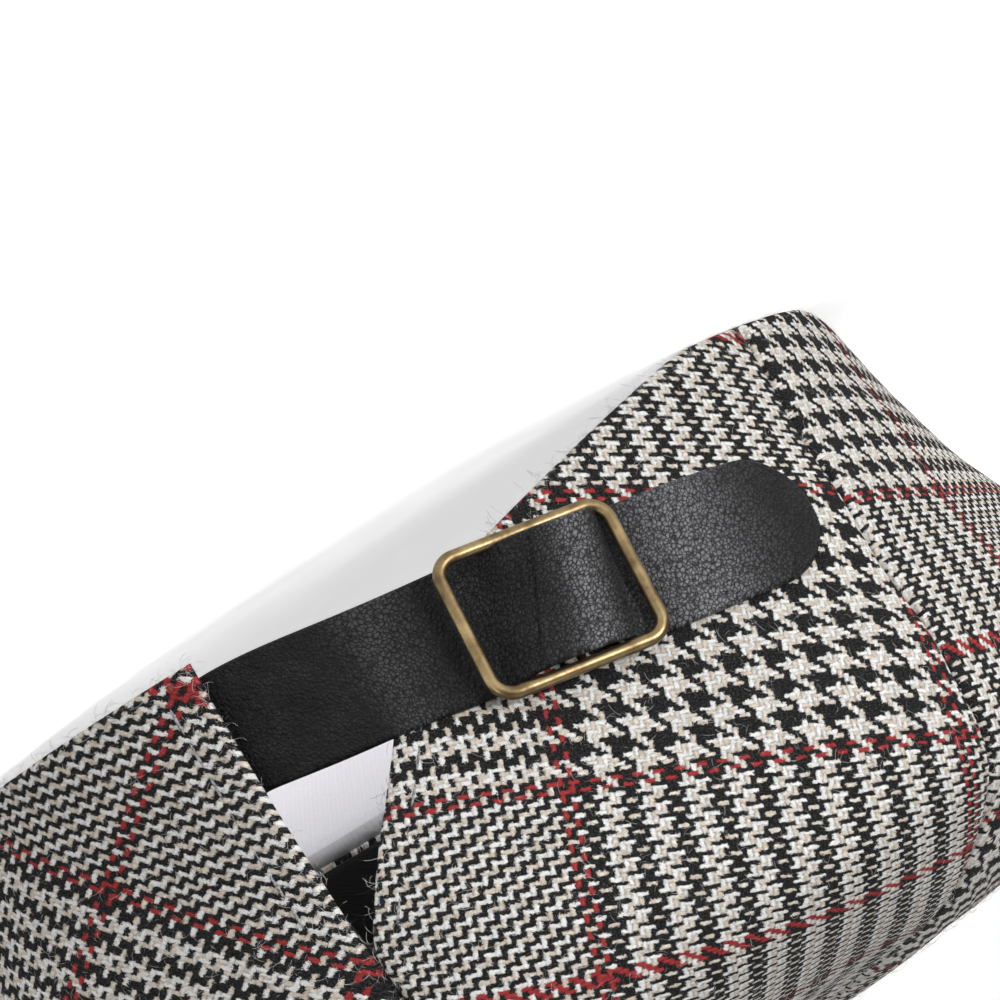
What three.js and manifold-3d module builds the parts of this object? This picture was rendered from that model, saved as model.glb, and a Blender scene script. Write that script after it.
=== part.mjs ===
// Eight-panel flat cap with a V notch, a leather strap and a slider buckle at the back.
// Millimetres, +Z up. The cap lies on its rim, the peak towards -Y and the notch towards +Y.
import * as THREE from 'three';
import { mergeVertices } from 'three/addons/utils/BufferGeometryUtils.js';
import Module from 'manifold-3d';

const DEGREE = Math.PI / 180;

// Walls and the gap that pieces keep from each other
const WOOL = 2.0;
const LINING = 0.8;
const LEATHER = 1.6;
const GAP = 0.3;
const LINING_GAP = 0.6;

// Crown mesh
const PANEL_COLUMNS = 8;
const LINING_COLUMNS = 4;
const CROWN_ROWS = 14;
const LINING_START = 0.018;
const RIM_STEP = 0.02;
const RISE_STEPS = 24;
const LEVEL_HALVINGS = 24;
const SEAM_TOLERANCE = 1e-6;

// Level rings of the crown, from the rim up to the eye at the top.
// flat: how far each panel is drawn straight between its two seams.
// seam: degrees from the middle of the back to the first seam; the other seams share the rest.
const RINGS = [
  { name: 'rim', halfWidth: 86, back: 102, front: 100, height: 0, flat: 0.05, seam: 62 },
  { name: 'wall', halfWidth: 90, back: 106.5, front: 107, height: 19, flat: 0.22, seam: 57 },
  { name: 'belly', halfWidth: 96, back: 112.5, front: 117, height: 40, flat: 0.36, seam: 52 },
  { name: 'widest', halfWidth: 102, back: 118, front: 127, height: 60, flat: 0.42, seam: 48.5 },
  { name: 'shoulder', halfWidth: 99, back: 112, front: 123, height: 79, flat: 0.42, seam: 47 },
  { name: 'top', halfWidth: 74, back: 79, front: 89, height: 92, flat: 0.4, seam: 46 },
  { name: 'near eye', halfWidth: 37, back: 38, front: 41, height: 96, flat: 0.3, seam: 45 },
  { name: 'eye', halfWidth: 4, back: 4, front: 4, height: 97, flat: 0, seam: 45 },
];
const PANEL_NAMES = ['back', 'rear_side', 'front_side', 'front'];

// Soft dents where the cloth has settled: where, how wide and how deep
const DENTS = [
  { name: 'right shoulder', angle: 78, level: 0.62, wide: 16, tall: 0.1, depth: 3.5 },
  { name: 'left shoulder', angle: -84, level: 0.6, wide: 18, tall: 0.1, depth: 3.0 },
  { name: 'front right', angle: 158, level: 0.7, wide: 14, tall: 0.12, depth: 4.0 },
  { name: 'front left', angle: -155, level: 0.68, wide: 15, tall: 0.12, depth: 3.5 },
  { name: 'back top', angle: 20, level: 0.78, wide: 26, tall: 0.1, depth: 3.0 },
];

// Rim: flat on the table beside the notch, lifted at the temples where the peak begins
const RIM_LIFT = 28;
const LIFT_START = 76;
const LIFT_END = 124;
const LIFT_FADE_HEIGHT = 70;
const LIFT_FADE_POWER = 1.25;
const CORNER_LIFT = { right: 19, left: 4 };
const CORNER_REACH = 52;
const CORNER_FALL = 1.15;
const NOTCH_HALF_ANGLE = 10;

// V notch in the middle of the back
const NOTCH_DEPTH = 45;
const NOTCH_WIDTH = { right: 16, left: 18 };
const LINING_SET_BACK = 2.5;
const SET_BACK_FADE = 4;
// The crown has settled to one side, so the notch leans: sideways shift of its apex,
// and the level from which the back seam comes back to the middle
const NOTCH_LEAN = 12;
const LEAN_END = 0.32;

// Peak
const PEAK_HALF_ANGLE = 64;
const PEAK_REACH = 56;
const PEAK_END_REACH = 3;
const PEAK_TAPER = 1.05;
const PEAK_FORWARD = 0.55;
const PEAK_THICKNESS = 3.6;
const PEAK_REST = 0.9;
const PEAK_COLUMNS = 26;
const PEAK_ROWS = 6;
const FORWARD = new THREE.Vector3(0, -1, 0);

// Button over the eye of the crown
const BUTTON_RADIUS = 9.5;
const BUTTON_HEIGHT = 4.5;
const BUTTON_FOOT = { radius: 8.2, height: 0.9 };
const BUTTON_ROUNDNESS = 0.7;
const BUTTON_STEPS = 6;
const BUTTON_SIDES = 20;

// Strap: angle round the cap, rise of its middle from the rim, how far its middle
// stands off the wool's outer face, and half its width
const STRAP = [
  { place: 'sewn end', angle: -28, rise: 12.4, proud: -3.1, half: 9.8 },
  { place: 'under the left panel', angle: -17, rise: 12.2, proud: -3.1, half: 9.8 },
  { place: 'left edge of the notch', angle: -9, rise: 11.4, proud: -3.1, half: 9.8 },
  { place: 'middle of the notch', angle: -3.7, rise: 9.8, proud: -0.9, half: 9.8 },
  { place: 'right edge of the notch', angle: 1.4, rise: 6.0, proud: 1.35, half: 9.8 },
  { place: 'on the edge', angle: 7.5, rise: 5.0, proud: 1.2, half: 9.8 },
  { place: 'left bar', angle: 13.6, rise: 8.3, proud: 1.1, half: 9.8 },
  { place: 'into the window', angle: 16.2, rise: 10.1, proud: 1.5, half: 8.5 },
  { place: 'rising', angle: 18.6, rise: 11.8, proud: 3.9, half: 8.5 },
  { place: 'over the middle bar', angle: 22, rise: 14.2, proud: 5.4, half: 8.5 },
  { place: 'falling', angle: 25.4, rise: 16.3, proud: 4.2, half: 8.5 },
  { place: 'out of the window', angle: 28, rise: 17.9, proud: 1.5, half: 8.5 },
  { place: 'right bar', angle: 30.4, rise: 19.4, proud: 1.1, half: 9.8 },
  { place: 'on the right panel', angle: 37, rise: 23.5, proud: 1.1, half: 9.8 },
  { place: 'tip', angle: 48.8, rise: 31.0, proud: 1.1, half: 9.8 },
];
const STRAP_ROOM = { start: -48, full: -28, end: 4, low: 0.26, high: 0.4 };
const STRAP_STEPS = 52;
const STRAP_COLUMNS = 4;
const TIP_LENGTH = 9.8;
const TIP_END_SHARE = 0.12;

// Buckle: outside size, wire, corner, and its hidden middle bar and tab
const BUCKLE_LENGTH = 28.9;
const BUCKLE_WIDTH = 22.4;
const BUCKLE_WIRE = 2.0;
const BUCKLE_CORNER = 3.2;
const BUCKLE_PLACE = { angle: 22, rise: 14.2, proud: 3.6 };
const WIRE_SIDES = 8;
const CORNER_STEPS = 5;
const BAR_WIRE = 1.4;
const TAB_LENGTH = 8;
const TAB_WIDTH = 14;
const TAB_PROUD = 0.6;
const TAB_HEIGHT = 1.8;

const COLOURS = {
  wool: { color: 0x6f6a63, roughness: 0.92, metalness: 0 },
  lining: { color: 0x121214, roughness: 0.85, metalness: 0 },
  leather: { color: 0x18181a, roughness: 0.5, metalness: 0 },
  brass: { color: 0x9a7b45, roughness: 0.35, metalness: 1 },
};

// Smooth curve through the rows of a table: the value of one column at place 0..1
function along(rows, column, place) {
  const last = rows.length - 1;
  const spot = THREE.MathUtils.clamp(place, 0, 1) * last;
  const low = Math.min(Math.floor(spot), last - 1);
  const share = spot - low;
  const value = (index) => rows[THREE.MathUtils.clamp(index, 0, last)][column];
  const [before, start, end, after] = [low - 1, low, low + 1, low + 2].map(value);
  const slopeStart = (end - before) / 2;
  const slopeEnd = (after - start) / 2;
  const square = share * share;
  const cube = square * share;
  return (2 * cube - 3 * square + 1) * start + (cube - 2 * square + share) * slopeStart
    + (3 * square - 2 * cube) * end + (cube - square) * slopeEnd;
}

// The notch's two corners stand off the table, each side by its own height
function cornerLift(angle) {
  const side = THREE.MathUtils.smoothstep(angle, -NOTCH_HALF_ANGLE, NOTCH_HALF_ANGLE);
  const height = THREE.MathUtils.lerp(CORNER_LIFT.left, CORNER_LIFT.right, side);
  return height * Math.max(1 - Math.abs(angle) / CORNER_REACH, 0) ** CORNER_FALL;
}

function rimLift(angle) {
  return cornerLift(angle) + RIM_LIFT * THREE.MathUtils.smoothstep(Math.abs(angle), LIFT_START, LIFT_END);
}

// Seams of one side at a level, in degrees from the middle of the back to the middle of the front
function seamsAt(level) {
  const first = along(RINGS, 'seam', level);
  const step = (180 - first) / (PANEL_NAMES.length - 1);
  return [0, ...PANEL_NAMES.map((_, index) => first + step * index)];
}

// Share of the full radius that a panel keeps when it is drawn straight between its seams.
// The back pair runs round the middle of the back with no corner.
function panelShare(angle, level) {
  const seams = seamsAt(level);
  const side = Math.min(Math.abs(angle), 180);
  const index = Math.max(seams.findIndex((seam) => seam >= side - SEAM_TOLERANCE), 1);
  const middle = (seams[index] + seams[index - 1]) / 2;
  const half = (seams[index] - seams[index - 1]) / 2;
  const straight = Math.cos(half * DEGREE);
  if (index === 1) return 1 - (1 - straight) * Math.sin((Math.PI * side) / seams[1]) ** 2;
  return straight / Math.cos((side - middle) * DEGREE);
}

// Outer face of the wool before the dents: angle in degrees from the back, level 0..1
function smoothWall(angle, level) {
  const wrapped = angle > 180 ? angle - 360 : angle < -180 ? angle + 360 : angle;
  const turn = wrapped * DEGREE;
  const height = along(RINGS, 'height', level);
  const share = 1 - along(RINGS, 'flat', level) * (1 - panelShare(wrapped, level));
  const reach = Math.cos(turn) >= 0 ? along(RINGS, 'back', level) : along(RINGS, 'front', level);
  const fade = Math.max(1 - height / LIFT_FADE_HEIGHT, 0) ** LIFT_FADE_POWER;
  return new THREE.Vector3(
    along(RINGS, 'halfWidth', level) * share * Math.sin(turn),
    reach * share * Math.cos(turn),
    height + rimLift(wrapped) * fade,
  );
}

function outward(angle, level) {
  const step = 0.8;
  const rise = 0.006;
  const round = smoothWall(angle + step, level).sub(smoothWall(angle - step, level));
  const up = smoothWall(angle, Math.min(level + rise, 1)).sub(smoothWall(angle, Math.max(level - rise, 0)));
  return up.cross(round).normalize();
}

function dentDepth(angle, level) {
  return DENTS.reduce((sum, dent) => {
    const off = THREE.MathUtils.euclideanModulo(angle - dent.angle + 180, 360) - 180;
    return sum + dent.depth * Math.exp(-((off / dent.wide) ** 2) - ((level - dent.level) / dent.tall) ** 2);
  }, 0);
}

// A point off the wool's outer face: proud is outwards. On the rim the offset is level.
function wall(angle, level, proud) {
  const normal = outward(angle, level);
  const move = proud - dentDepth(angle, level);
  if (level === 0) normal.setZ(0).normalize();
  return smoothWall(angle, level).addScaledVector(normal, move);
}

// Distance from the rim up the gore, and the level at a given distance
function riseAt(angle, level) {
  let length = 0;
  let last = smoothWall(angle, 0);
  for (let step = 1; step <= RISE_STEPS; step += 1) {
    const next = smoothWall(angle, (level * step) / RISE_STEPS);
    length += next.distanceTo(last);
    last = next;
  }
  return length;
}

function levelAt(angle, rise) {
  let low = 0;
  let high = 1;
  for (let halving = 0; halving < LEVEL_HALVINGS; halving += 1) {
    const middle = (low + high) / 2;
    if (riseAt(angle, middle) < rise) low = middle;
    else high = middle;
  }
  return (low + high) / 2;
}

// A point by its rise from the rim; past the rim the wall goes on straight
function wallAt(angle, rise, proud) {
  if (rise > 0) return wall(angle, levelAt(angle, rise), proud);
  const foot = smoothWall(angle, 0);
  const up = smoothWall(angle, RIM_STEP).sub(foot).normalize();
  return foot.addScaledVector(up, rise).addScaledVector(outward(angle, RIM_STEP), proud);
}

function millimetresPerDegree(angle, level) {
  return smoothWall(angle + 1, level).distanceTo(smoothWall(angle - 1, level)) / 2;
}

// The two edges of the notch at a level, as angles; above its apex, of the back seam
function notchEdges(level, setBack) {
  const open = Math.max(1 - riseAt(0, level) / NOTCH_DEPTH, 0);
  const away = setBack * Math.min(open * SET_BACK_FADE, 1) + GAP / 2;
  const lean = NOTCH_LEAN * (1 - open) * (1 - THREE.MathUtils.smoothstep(level, LEAN_END, 1));
  const scale = millimetresPerDegree(0, level);
  return {
    right: (NOTCH_WIDTH.right * open + away - lean) / scale,
    left: (-NOTCH_WIDTH.left * open - away - lean) / scale,
  };
}

// A closed sheet from a grid of outer and inner points
function sheet(columns, rows, outer, inner) {
  const points = [];
  const faces = [];
  const across = columns + 1;
  const layer = across * (rows + 1);
  const place = (column, row, side) => side * layer + row * across + column;
  const quad = (a, b, c, d) => faces.push(a, b, c, a, c, d);
  for (const surface of [outer, inner]) {
    for (let row = 0; row <= rows; row += 1) {
      for (let column = 0; column <= columns; column += 1) {
        points.push(...surface(column / columns, row / rows).toArray());
      }
    }
  }
  for (let row = 0; row < rows; row += 1) {
    for (let column = 0; column < columns; column += 1) {
      const corners = [[column, row], [column + 1, row], [column + 1, row + 1], [column, row + 1]];
      quad(...corners.map(([c, r]) => place(c, r, 0)));
      quad(...corners.reverse().map(([c, r]) => place(c, r, 1)));
    }
    quad(place(0, row, 0), place(0, row + 1, 0), place(0, row + 1, 1), place(0, row, 1));
    quad(place(columns, row, 1), place(columns, row + 1, 1), place(columns, row + 1, 0), place(columns, row, 0));
  }
  for (let column = 0; column < columns; column += 1) {
    quad(place(column, 0, 1), place(column + 1, 0, 1), place(column + 1, 0, 0), place(column, 0, 0));
    quad(place(column, rows, 0), place(column + 1, rows, 0), place(column + 1, rows, 1), place(column, rows, 1));
  }
  return facesOut(points, faces);
}

// Geometry from points and triangles, turned so that its faces point out
function facesOut(points, faces) {
  const corner = (index) => new THREE.Vector3().fromArray(points, index * 3);
  let volume = 0;
  for (let index = 0; index < faces.length; index += 3) {
    const [a, b, c] = faces.slice(index, index + 3).map(corner);
    volume += a.dot(b.cross(c));
  }
  const geometry = new THREE.BufferGeometry();
  geometry.setAttribute('position', new THREE.Float32BufferAttribute(points, 3));
  geometry.setIndex(volume < 0 ? faces.reverse() : faces);
  return geometry;
}

function named(name, geometry, finish) {
  const mesh = new THREE.Mesh(geometry, new THREE.MeshStandardMaterial(COLOURS[finish]));
  mesh.name = name;
  return mesh;
}

// One gore between two seams; the back pair also stops at the notch
function crownPanel(index, side) {
  const angleAt = (share, level) => {
    const seams = seamsAt(level);
    const seamGap = GAP / 2 / millimetresPerDegree(side * seams[index], level);
    const notch = notchEdges(level, 0);
    const edge = side > 0 ? notch.right : notch.left;
    const start = index === 0 ? edge : side * (seams[index] + seamGap);
    return THREE.MathUtils.lerp(start, side * (seams[index + 1] - seamGap), share);
  };
  const face = (proud) => (share, level) => wall(angleAt(share, level), level, proud);
  return sheet(PANEL_COLUMNS, CROWN_ROWS, face(0), face(-WOOL));
}

// Room that the lining leaves for the strap's sewn end
function strapRoom(angle, level) {
  const { start, full, end, low, high } = STRAP_ROOM;
  const round = THREE.MathUtils.smoothstep(angle, start, full) * (1 - THREE.MathUtils.smoothstep(angle, 0, end));
  return (LEATHER + GAP) * round * (1 - THREE.MathUtils.smoothstep(level, low, high));
}

// The lining goes once round from one edge of the notch to the other
function lining() {
  const angleAt = (share, level) => {
    const half = seamsAt(level);
    const seams = half.concat(half.slice(0, -1).reverse().map((seam) => 360 - seam));
    const notch = notchEdges(level, LINING_SET_BACK);
    const spot = share * (seams.length - 1);
    const index = Math.min(Math.floor(spot), seams.length - 2);
    const plain = THREE.MathUtils.lerp(seams[index], seams[index + 1], spot - index);
    const angle = THREE.MathUtils.clamp(plain, notch.right, 360 + notch.left);
    return angle > 180 ? angle - 360 : angle;
  };
  const face = (depth) => (share, row) => {
    const level = Math.max(row, LINING_START);
    const angle = angleAt(share, level);
    return wall(angle, level, -depth - strapRoom(angle, level));
  };
  const columns = 2 * PANEL_NAMES.length * LINING_COLUMNS;
  return sheet(columns, CROWN_ROWS, face(WOOL + LINING_GAP), face(WOOL + LINING_GAP + LINING));
}

// Peak: sewn under the rim at the front, sloping down to rest on its front edge
function peak() {
  const seat = (angle) => rimLift(angle) - GAP;
  const drop = seat(180) - PEAK_THICKNESS;
  const reachAt = (turn) => {
    const share = turn / PEAK_HALF_ANGLE;
    return PEAK_END_REACH + (PEAK_REACH - PEAK_END_REACH) * (1 - share * share) ** PEAK_TAPER;
  };
  const face = (thickness) => (share, out) => {
    const turn = PEAK_HALF_ANGLE * (2 * share - 1);
    const angle = turn >= 0 ? 180 - turn : -180 - turn;
    const reach = reachAt(turn);
    const foot = wall(angle, 0, -WOOL / 2);
    const away = outward(angle, 0).setZ(0).normalize().lerp(FORWARD, PEAK_FORWARD).normalize();
    const slope = drop * Math.min(reach / PEAK_REACH / PEAK_REST, 1);
    const point = foot.addScaledVector(away, reach * out);
    return point.setZ(seat(angle) - slope * out - thickness);
  };
  return sheet(PEAK_COLUMNS, PEAK_ROWS, face(0), face(PEAK_THICKNESS));
}

function crownButton() {
  const base = RINGS.at(-1).height + GAP;
  const dome = BUTTON_HEIGHT - BUTTON_FOOT.height;
  const profile = [new THREE.Vector2(0, 0), new THREE.Vector2(BUTTON_FOOT.radius, 0)];
  for (let step = 0; step <= BUTTON_STEPS; step += 1) {
    const turn = (90 * DEGREE * step) / BUTTON_STEPS;
    const radius = step === BUTTON_STEPS ? 0 : BUTTON_RADIUS * Math.cos(turn) ** BUTTON_ROUNDNESS;
    profile.push(new THREE.Vector2(radius, BUTTON_FOOT.height + dome * Math.sin(turn)));
  }
  const geometry = new THREE.LatheGeometry(profile, BUTTON_SIDES);
  return geometry.rotateX(90 * DEGREE).translate(0, 0, base);
}

// A point of the strap: place 0..1 along it, offset across it, lift off its middle
function strapPoint(place, offset, lift) {
  const [angle, rise, proud] = ['angle', 'rise', 'proud'].map((column) => along(STRAP, column, place));
  const step = 0.01;
  const change = (column) => along(STRAP, column, place + step) - along(STRAP, column, place - step);
  const scale = millimetresPerDegree(angle, levelAt(angle, Math.max(rise, 0)));
  const run = change('angle') * scale;
  const climb = change('rise');
  const length = Math.hypot(run, climb);
  const turn = angle - ((climb / length) * offset) / scale;
  return wallAt(turn, rise + (run / length) * offset, proud + lift);
}

function strap() {
  const middle = [];
  for (let step = 0; step <= STRAP_STEPS; step += 1) middle.push(strapPoint(step / STRAP_STEPS, 0, 0));
  const lengths = middle.map((point, index) => (index ? point.distanceTo(middle[index - 1]) : 0));
  const toTip = lengths.map((_, index) => lengths.slice(index + 1).reduce((sum, part) => sum + part, 0));
  const halfAt = (index) => {
    const round = Math.max(1 - toTip[index] / TIP_LENGTH, 0);
    const share = Math.max(Math.sqrt(1 - round * round), TIP_END_SHARE);
    return along(STRAP, 'half', index / STRAP_STEPS) * share;
  };
  const face = (lift) => (across, down) => {
    const half = halfAt(Math.round(down * STRAP_STEPS));
    return strapPoint(down, half * (2 * across - 1), lift);
  };
  return sheet(STRAP_COLUMNS, STRAP_STEPS, face(LEATHER / 2), face(-LEATHER / 2));
}

// Closed wire ring round a rectangle with round corners, in its own plane
function wireFrame() {
  const halfLength = (BUCKLE_LENGTH - BUCKLE_WIRE) / 2;
  const halfWidth = (BUCKLE_WIDTH - BUCKLE_WIRE) / 2;
  const path = [];
  for (let corner = 0; corner < 4; corner += 1) {
    const signX = corner === 0 || corner === 3 ? 1 : -1;
    const signY = corner < 2 ? 1 : -1;
    for (let step = 0; step <= CORNER_STEPS; step += 1) {
      const turn = 90 * DEGREE * (corner + step / CORNER_STEPS);
      const away = new THREE.Vector3(Math.cos(turn), Math.sin(turn), 0);
      const centre = new THREE.Vector3(signX * (halfLength - BUCKLE_CORNER), signY * (halfWidth - BUCKLE_CORNER), 0);
      path.push({ away, point: centre.addScaledVector(away, BUCKLE_CORNER) });
    }
  }
  const points = [];
  const faces = [];
  path.forEach(({ away, point }, index) => {
    for (let side = 0; side < WIRE_SIDES; side += 1) {
      const turn = (360 * DEGREE * (side + 0.5)) / WIRE_SIDES;
      const spot = point.clone().addScaledVector(away, (BUCKLE_WIRE / 2) * Math.cos(turn));
      points.push(spot.x, spot.y, (BUCKLE_WIRE / 2) * Math.sin(turn));
      const next = ((index + 1) % path.length) * WIRE_SIDES;
      const other = (side + 1) % WIRE_SIDES;
      const [a, b] = [index * WIRE_SIDES + side, index * WIRE_SIDES + other];
      faces.push(a, next + side, next + other, a, next + other, b);
    }
  });
  return facesOut(points, faces);
}

const wasm = await Module();
wasm.setup();

function solid(geometry) {
  const bare = geometry.clone();
  bare.deleteAttribute('normal');
  bare.deleteAttribute('uv');
  const merged = mergeVertices(bare, 1e-4);
  return new wasm.Manifold(new wasm.Mesh({
    numProp: 3,
    vertProperties: new Float32Array(merged.attributes.position.array),
    triVerts: new Uint32Array(merged.index.array),
  }));
}

function geometryOf(manifold) {
  const mesh = manifold.getMesh();
  const geometry = new THREE.BufferGeometry();
  geometry.setAttribute('position', new THREE.Float32BufferAttribute(mesh.vertProperties, 3));
  geometry.setIndex(Array.from(mesh.triVerts));
  return geometry;
}

// Buckle: the wire frame with its middle bar in one piece
function buckle() {
  const bar = new THREE.CylinderGeometry(BAR_WIRE / 2, BAR_WIRE / 2, BUCKLE_WIDTH - BUCKLE_WIRE, WIRE_SIDES);
  return geometryOf(solid(wireFrame()).add(solid(bar)));
}

// The buckle's own axes: along the strap, across it and off the wool
function buckleSeat(proud) {
  const { angle, rise } = BUCKLE_PLACE;
  const index = STRAP.findIndex((row) => row.place === 'over the middle bar');
  const place = index / (STRAP.length - 1);
  const step = 0.05;
  const normal = outward(angle, levelAt(angle, rise));
  const forward = strapPoint(place + step, 0, 0).sub(strapPoint(place - step, 0, 0));
  forward.addScaledVector(normal, -forward.dot(normal)).normalize();
  const matrix = new THREE.Matrix4().makeBasis(forward, normal.clone().cross(forward), normal);
  return matrix.setPosition(wallAt(angle, rise, proud));
}

// Plain tab on the right panel that carries the middle bar
function buckleTab() {
  return new THREE.BoxGeometry(TAB_LENGTH, TAB_WIDTH, TAB_HEIGHT).translate(0, 0, TAB_PROUD + TAB_HEIGHT / 2);
}

function seated(mesh, proud) {
  buckleSeat(proud).decompose(mesh.position, mesh.quaternion, mesh.scale);
  return mesh;
}

const cap = new THREE.Group();
for (const [word, side] of [['right', 1], ['left', -1]]) {
  PANEL_NAMES.forEach((name, index) => {
    cap.add(named(`panel_${name}_${word}`, crownPanel(index, side), 'wool'));
  });
}
cap.add(named('lining', lining(), 'lining'));
cap.add(named('peak', peak(), 'wool'));
cap.add(named('crown_button', crownButton(), 'wool'));
cap.add(named('strap', strap(), 'leather'));
cap.add(seated(named('buckle', buckle(), 'brass'), BUCKLE_PLACE.proud));
cap.add(seated(named('buckle_tab', buckleTab(), 'leather'), 0));

// The origin is the middle of the cap's box, on the table
cap.updateMatrixWorld(true);
const box = new THREE.Box3().setFromObject(cap, true);
cap.position.set(-(box.min.x + box.max.x) / 2, -(box.min.y + box.max.y) / 2, -box.min.z);
const part = new THREE.Group();
part.add(cap);

export default part;
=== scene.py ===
"""Flat cap with a V notch at the back, closed by a leather strap and a slider buckle.

Sizes are in millimetres while a piece is shaped and in metres once it is a mesh.
The cap's own frame: angle in degrees from the middle of the back towards +X, level from
0 at the rim to 1 at the eye of the crown.
"""
import math
from collections import namedtuple
from functools import lru_cache

import bmesh
import bpy
import numpy as np
from bpy.props import FloatProperty, FloatVectorProperty, PointerProperty
from mathutils import Matrix, Vector


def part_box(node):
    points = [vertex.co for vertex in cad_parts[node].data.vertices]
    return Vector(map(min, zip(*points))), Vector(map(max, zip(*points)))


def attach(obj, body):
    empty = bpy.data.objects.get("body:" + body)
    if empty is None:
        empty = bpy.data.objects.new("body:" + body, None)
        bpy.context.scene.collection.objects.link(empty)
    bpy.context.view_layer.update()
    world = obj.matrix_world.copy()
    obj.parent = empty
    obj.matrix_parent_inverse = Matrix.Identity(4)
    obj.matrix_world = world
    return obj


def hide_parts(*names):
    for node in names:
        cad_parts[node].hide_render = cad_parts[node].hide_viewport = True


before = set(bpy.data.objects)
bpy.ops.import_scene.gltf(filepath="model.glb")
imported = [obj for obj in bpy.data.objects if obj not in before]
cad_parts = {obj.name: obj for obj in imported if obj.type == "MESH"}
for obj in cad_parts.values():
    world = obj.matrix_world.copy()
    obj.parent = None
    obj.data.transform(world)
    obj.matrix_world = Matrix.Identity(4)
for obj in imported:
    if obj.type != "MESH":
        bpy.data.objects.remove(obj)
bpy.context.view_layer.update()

bl_info = {
    "name": "Flat Cap with Back Strap",
    "version": (1, 0, 0),
    "blender": (4, 5, 0),
    "location": "View3D > Sidebar > Cap",
    "description": "Dresses a flat cap in checked wool with a lining, a strap and a buckle",
    "category": "Object",
}

MM = 0.001
TABLE_CLEAR = 0.03
MERGE_REACH = 1e-7

# Walls and gaps of the solids
WOOL = 2.0
LINING = 0.8
LEATHER = 1.6
GAP = 0.3
LINING_GAP = 0.6

Ring = namedtuple("Ring", "place half_width back front height flat seam")
RINGS = (
    Ring("rim", 86, 102, 100, 0, 0.05, 62),
    Ring("wall", 90, 106.5, 107, 19, 0.22, 57),
    Ring("belly", 96, 112.5, 117, 40, 0.36, 52),
    Ring("widest", 102, 118, 127, 60, 0.42, 48.5),
    Ring("shoulder", 99, 112, 123, 79, 0.42, 47),
    Ring("top", 74, 79, 89, 92, 0.4, 46),
    Ring("near eye", 37, 38, 41, 96, 0.3, 45),
    Ring("eye", 4, 4, 4, 97, 0, 45),
)
PANEL_NAMES = ("back", "rear_side", "front_side", "front")
SIDES = (("right", 1), ("left", -1))

Dent = namedtuple("Dent", "place angle level wide tall depth")
DENTS = (
    Dent("right shoulder", 78, 0.62, 16, 0.1, 3.5),
    Dent("left shoulder", -84, 0.6, 18, 0.1, 3.0),
    Dent("front right", 158, 0.7, 14, 0.12, 4.0),
    Dent("front left", -155, 0.68, 15, 0.12, 3.5),
    Dent("back top", 20, 0.78, 26, 0.1, 3.0),
)

# Slight waves of worn cloth: height, number round the cap, climb and start
Wave = namedtuple("Wave", "height count climb start")
WAVES = (Wave(0.3, 7, 9, 0), Wave(0.22, 13, -23, 1.3), Wave(0.16, 5, 41, 0.6))
WAVE_FADE = (0.02, 0.2)

# Rim and notch: lifts, heights and widths in millimetres, starts and ends in degrees or levels
RIM_TURN = 0.05
ABOVE_RIM = 0.02
RIM_LIFT = 28
LIFT_START = 76
LIFT_END = 124
LIFT_FADE_HEIGHT = 70
LIFT_FADE_POWER = 1.25
CORNER_LIFT_RIGHT = 19
CORNER_LIFT_LEFT = 4
CORNER_REACH = 52
CORNER_FALL = 1.15
NOTCH_HALF_ANGLE = 10
NOTCH_DEPTH = 45
NOTCH_WIDTH_RIGHT = 16
NOTCH_WIDTH_LEFT = 18
NOTCH_LEAN = 12
NOTCH_CLOSE = 0.08
LEAN_END = 0.32
LINING_SET_BACK = 2.5
SET_BACK_FADE = 4
LINING_START = 0.018

# Cut of the panels: how the sewn and turned edges roll over
TURNED_RADIUS = WOOL / 2
SEAM_ROLL = 1.9
SEAM_DROP = 1.45
SEAM_PULL = 0.5
SEAM_PULL_REACH = 5.0
EDGE_STEPS = (0, 0.1, 0.3, 0.6, 1.0, 1.5, 2.1, 2.9, 3.9, 5.2, 6.6)
PANEL_STEP = 1.3
PANEL_MIDDLE = 0.4
LEVEL_SAMPLES = 161
ROW_SAMPLES = 41
PANEL_SAMPLES = 61
STITCH_INSET = {1: 4.4, -1: 6.0}
STITCH_SINK = 0.3
STITCH_GROOVE = 0.6
STITCH_TOP = 0.08
CLOTH_SPARE = 20

# Lie of the cloth on each panel: degrees that the weft climbs from level and that the warp
# leans from upright, the size of the weave and the numbers of the first warp and weft threads
Grain = namedtuple("Grain", "panel weft_climb warp_lean size warp_start weft_start")
GRAINS = (
    Grain("panel_back_right", 20.5, 22, 0.92, -49.6, 10.8),
    Grain("panel_back_left", 40.6, 60.6, 1.14, 125, 86.7),
    Grain("panel_rear_side_right", 8, 8, 1, 30, 12),
    Grain("panel_rear_side_left", -8, -8, 1, 95, 60),
    Grain("panel_front_side_right", 4, 4, 1, 70, 110),
    Grain("panel_front_side_left", -4, -4, 1, 20, 140),
    Grain("panel_front_right", 6, 6, 1, 120, 40),
    Grain("panel_front_left", -6, -6, 1, 50, 90),
)

# Order of the threads in one repeat of the check, counted in threads: blocks of broad groups,
# fine stretches between them, red lines and the repeat of the twill
BLOCK_WARP = 72
BLOCK_WEFT = 64
BROAD = 4
FINE = 42
RED_GROUP = 4
RED_THIN = 1.6
RED_BROAD = 1.9
TWILL = 4

# Unevenness of the threads: scale, detail and roughness of a noise, and how far it pushes them
Wander = namedtuple("Wander", "scale detail roughness push")
WANDERS = (Wander(1.1, 2.0, 0.7, 1.4), Wander(4.5, 1.0, 0.6, 0.8))

# Share of its pitch that a thread fills, and how much it narrows to the ends of its float
WARP_BODY = (0.92, 0.3)
WEFT_BODY = (1.08, 0.45)

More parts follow.
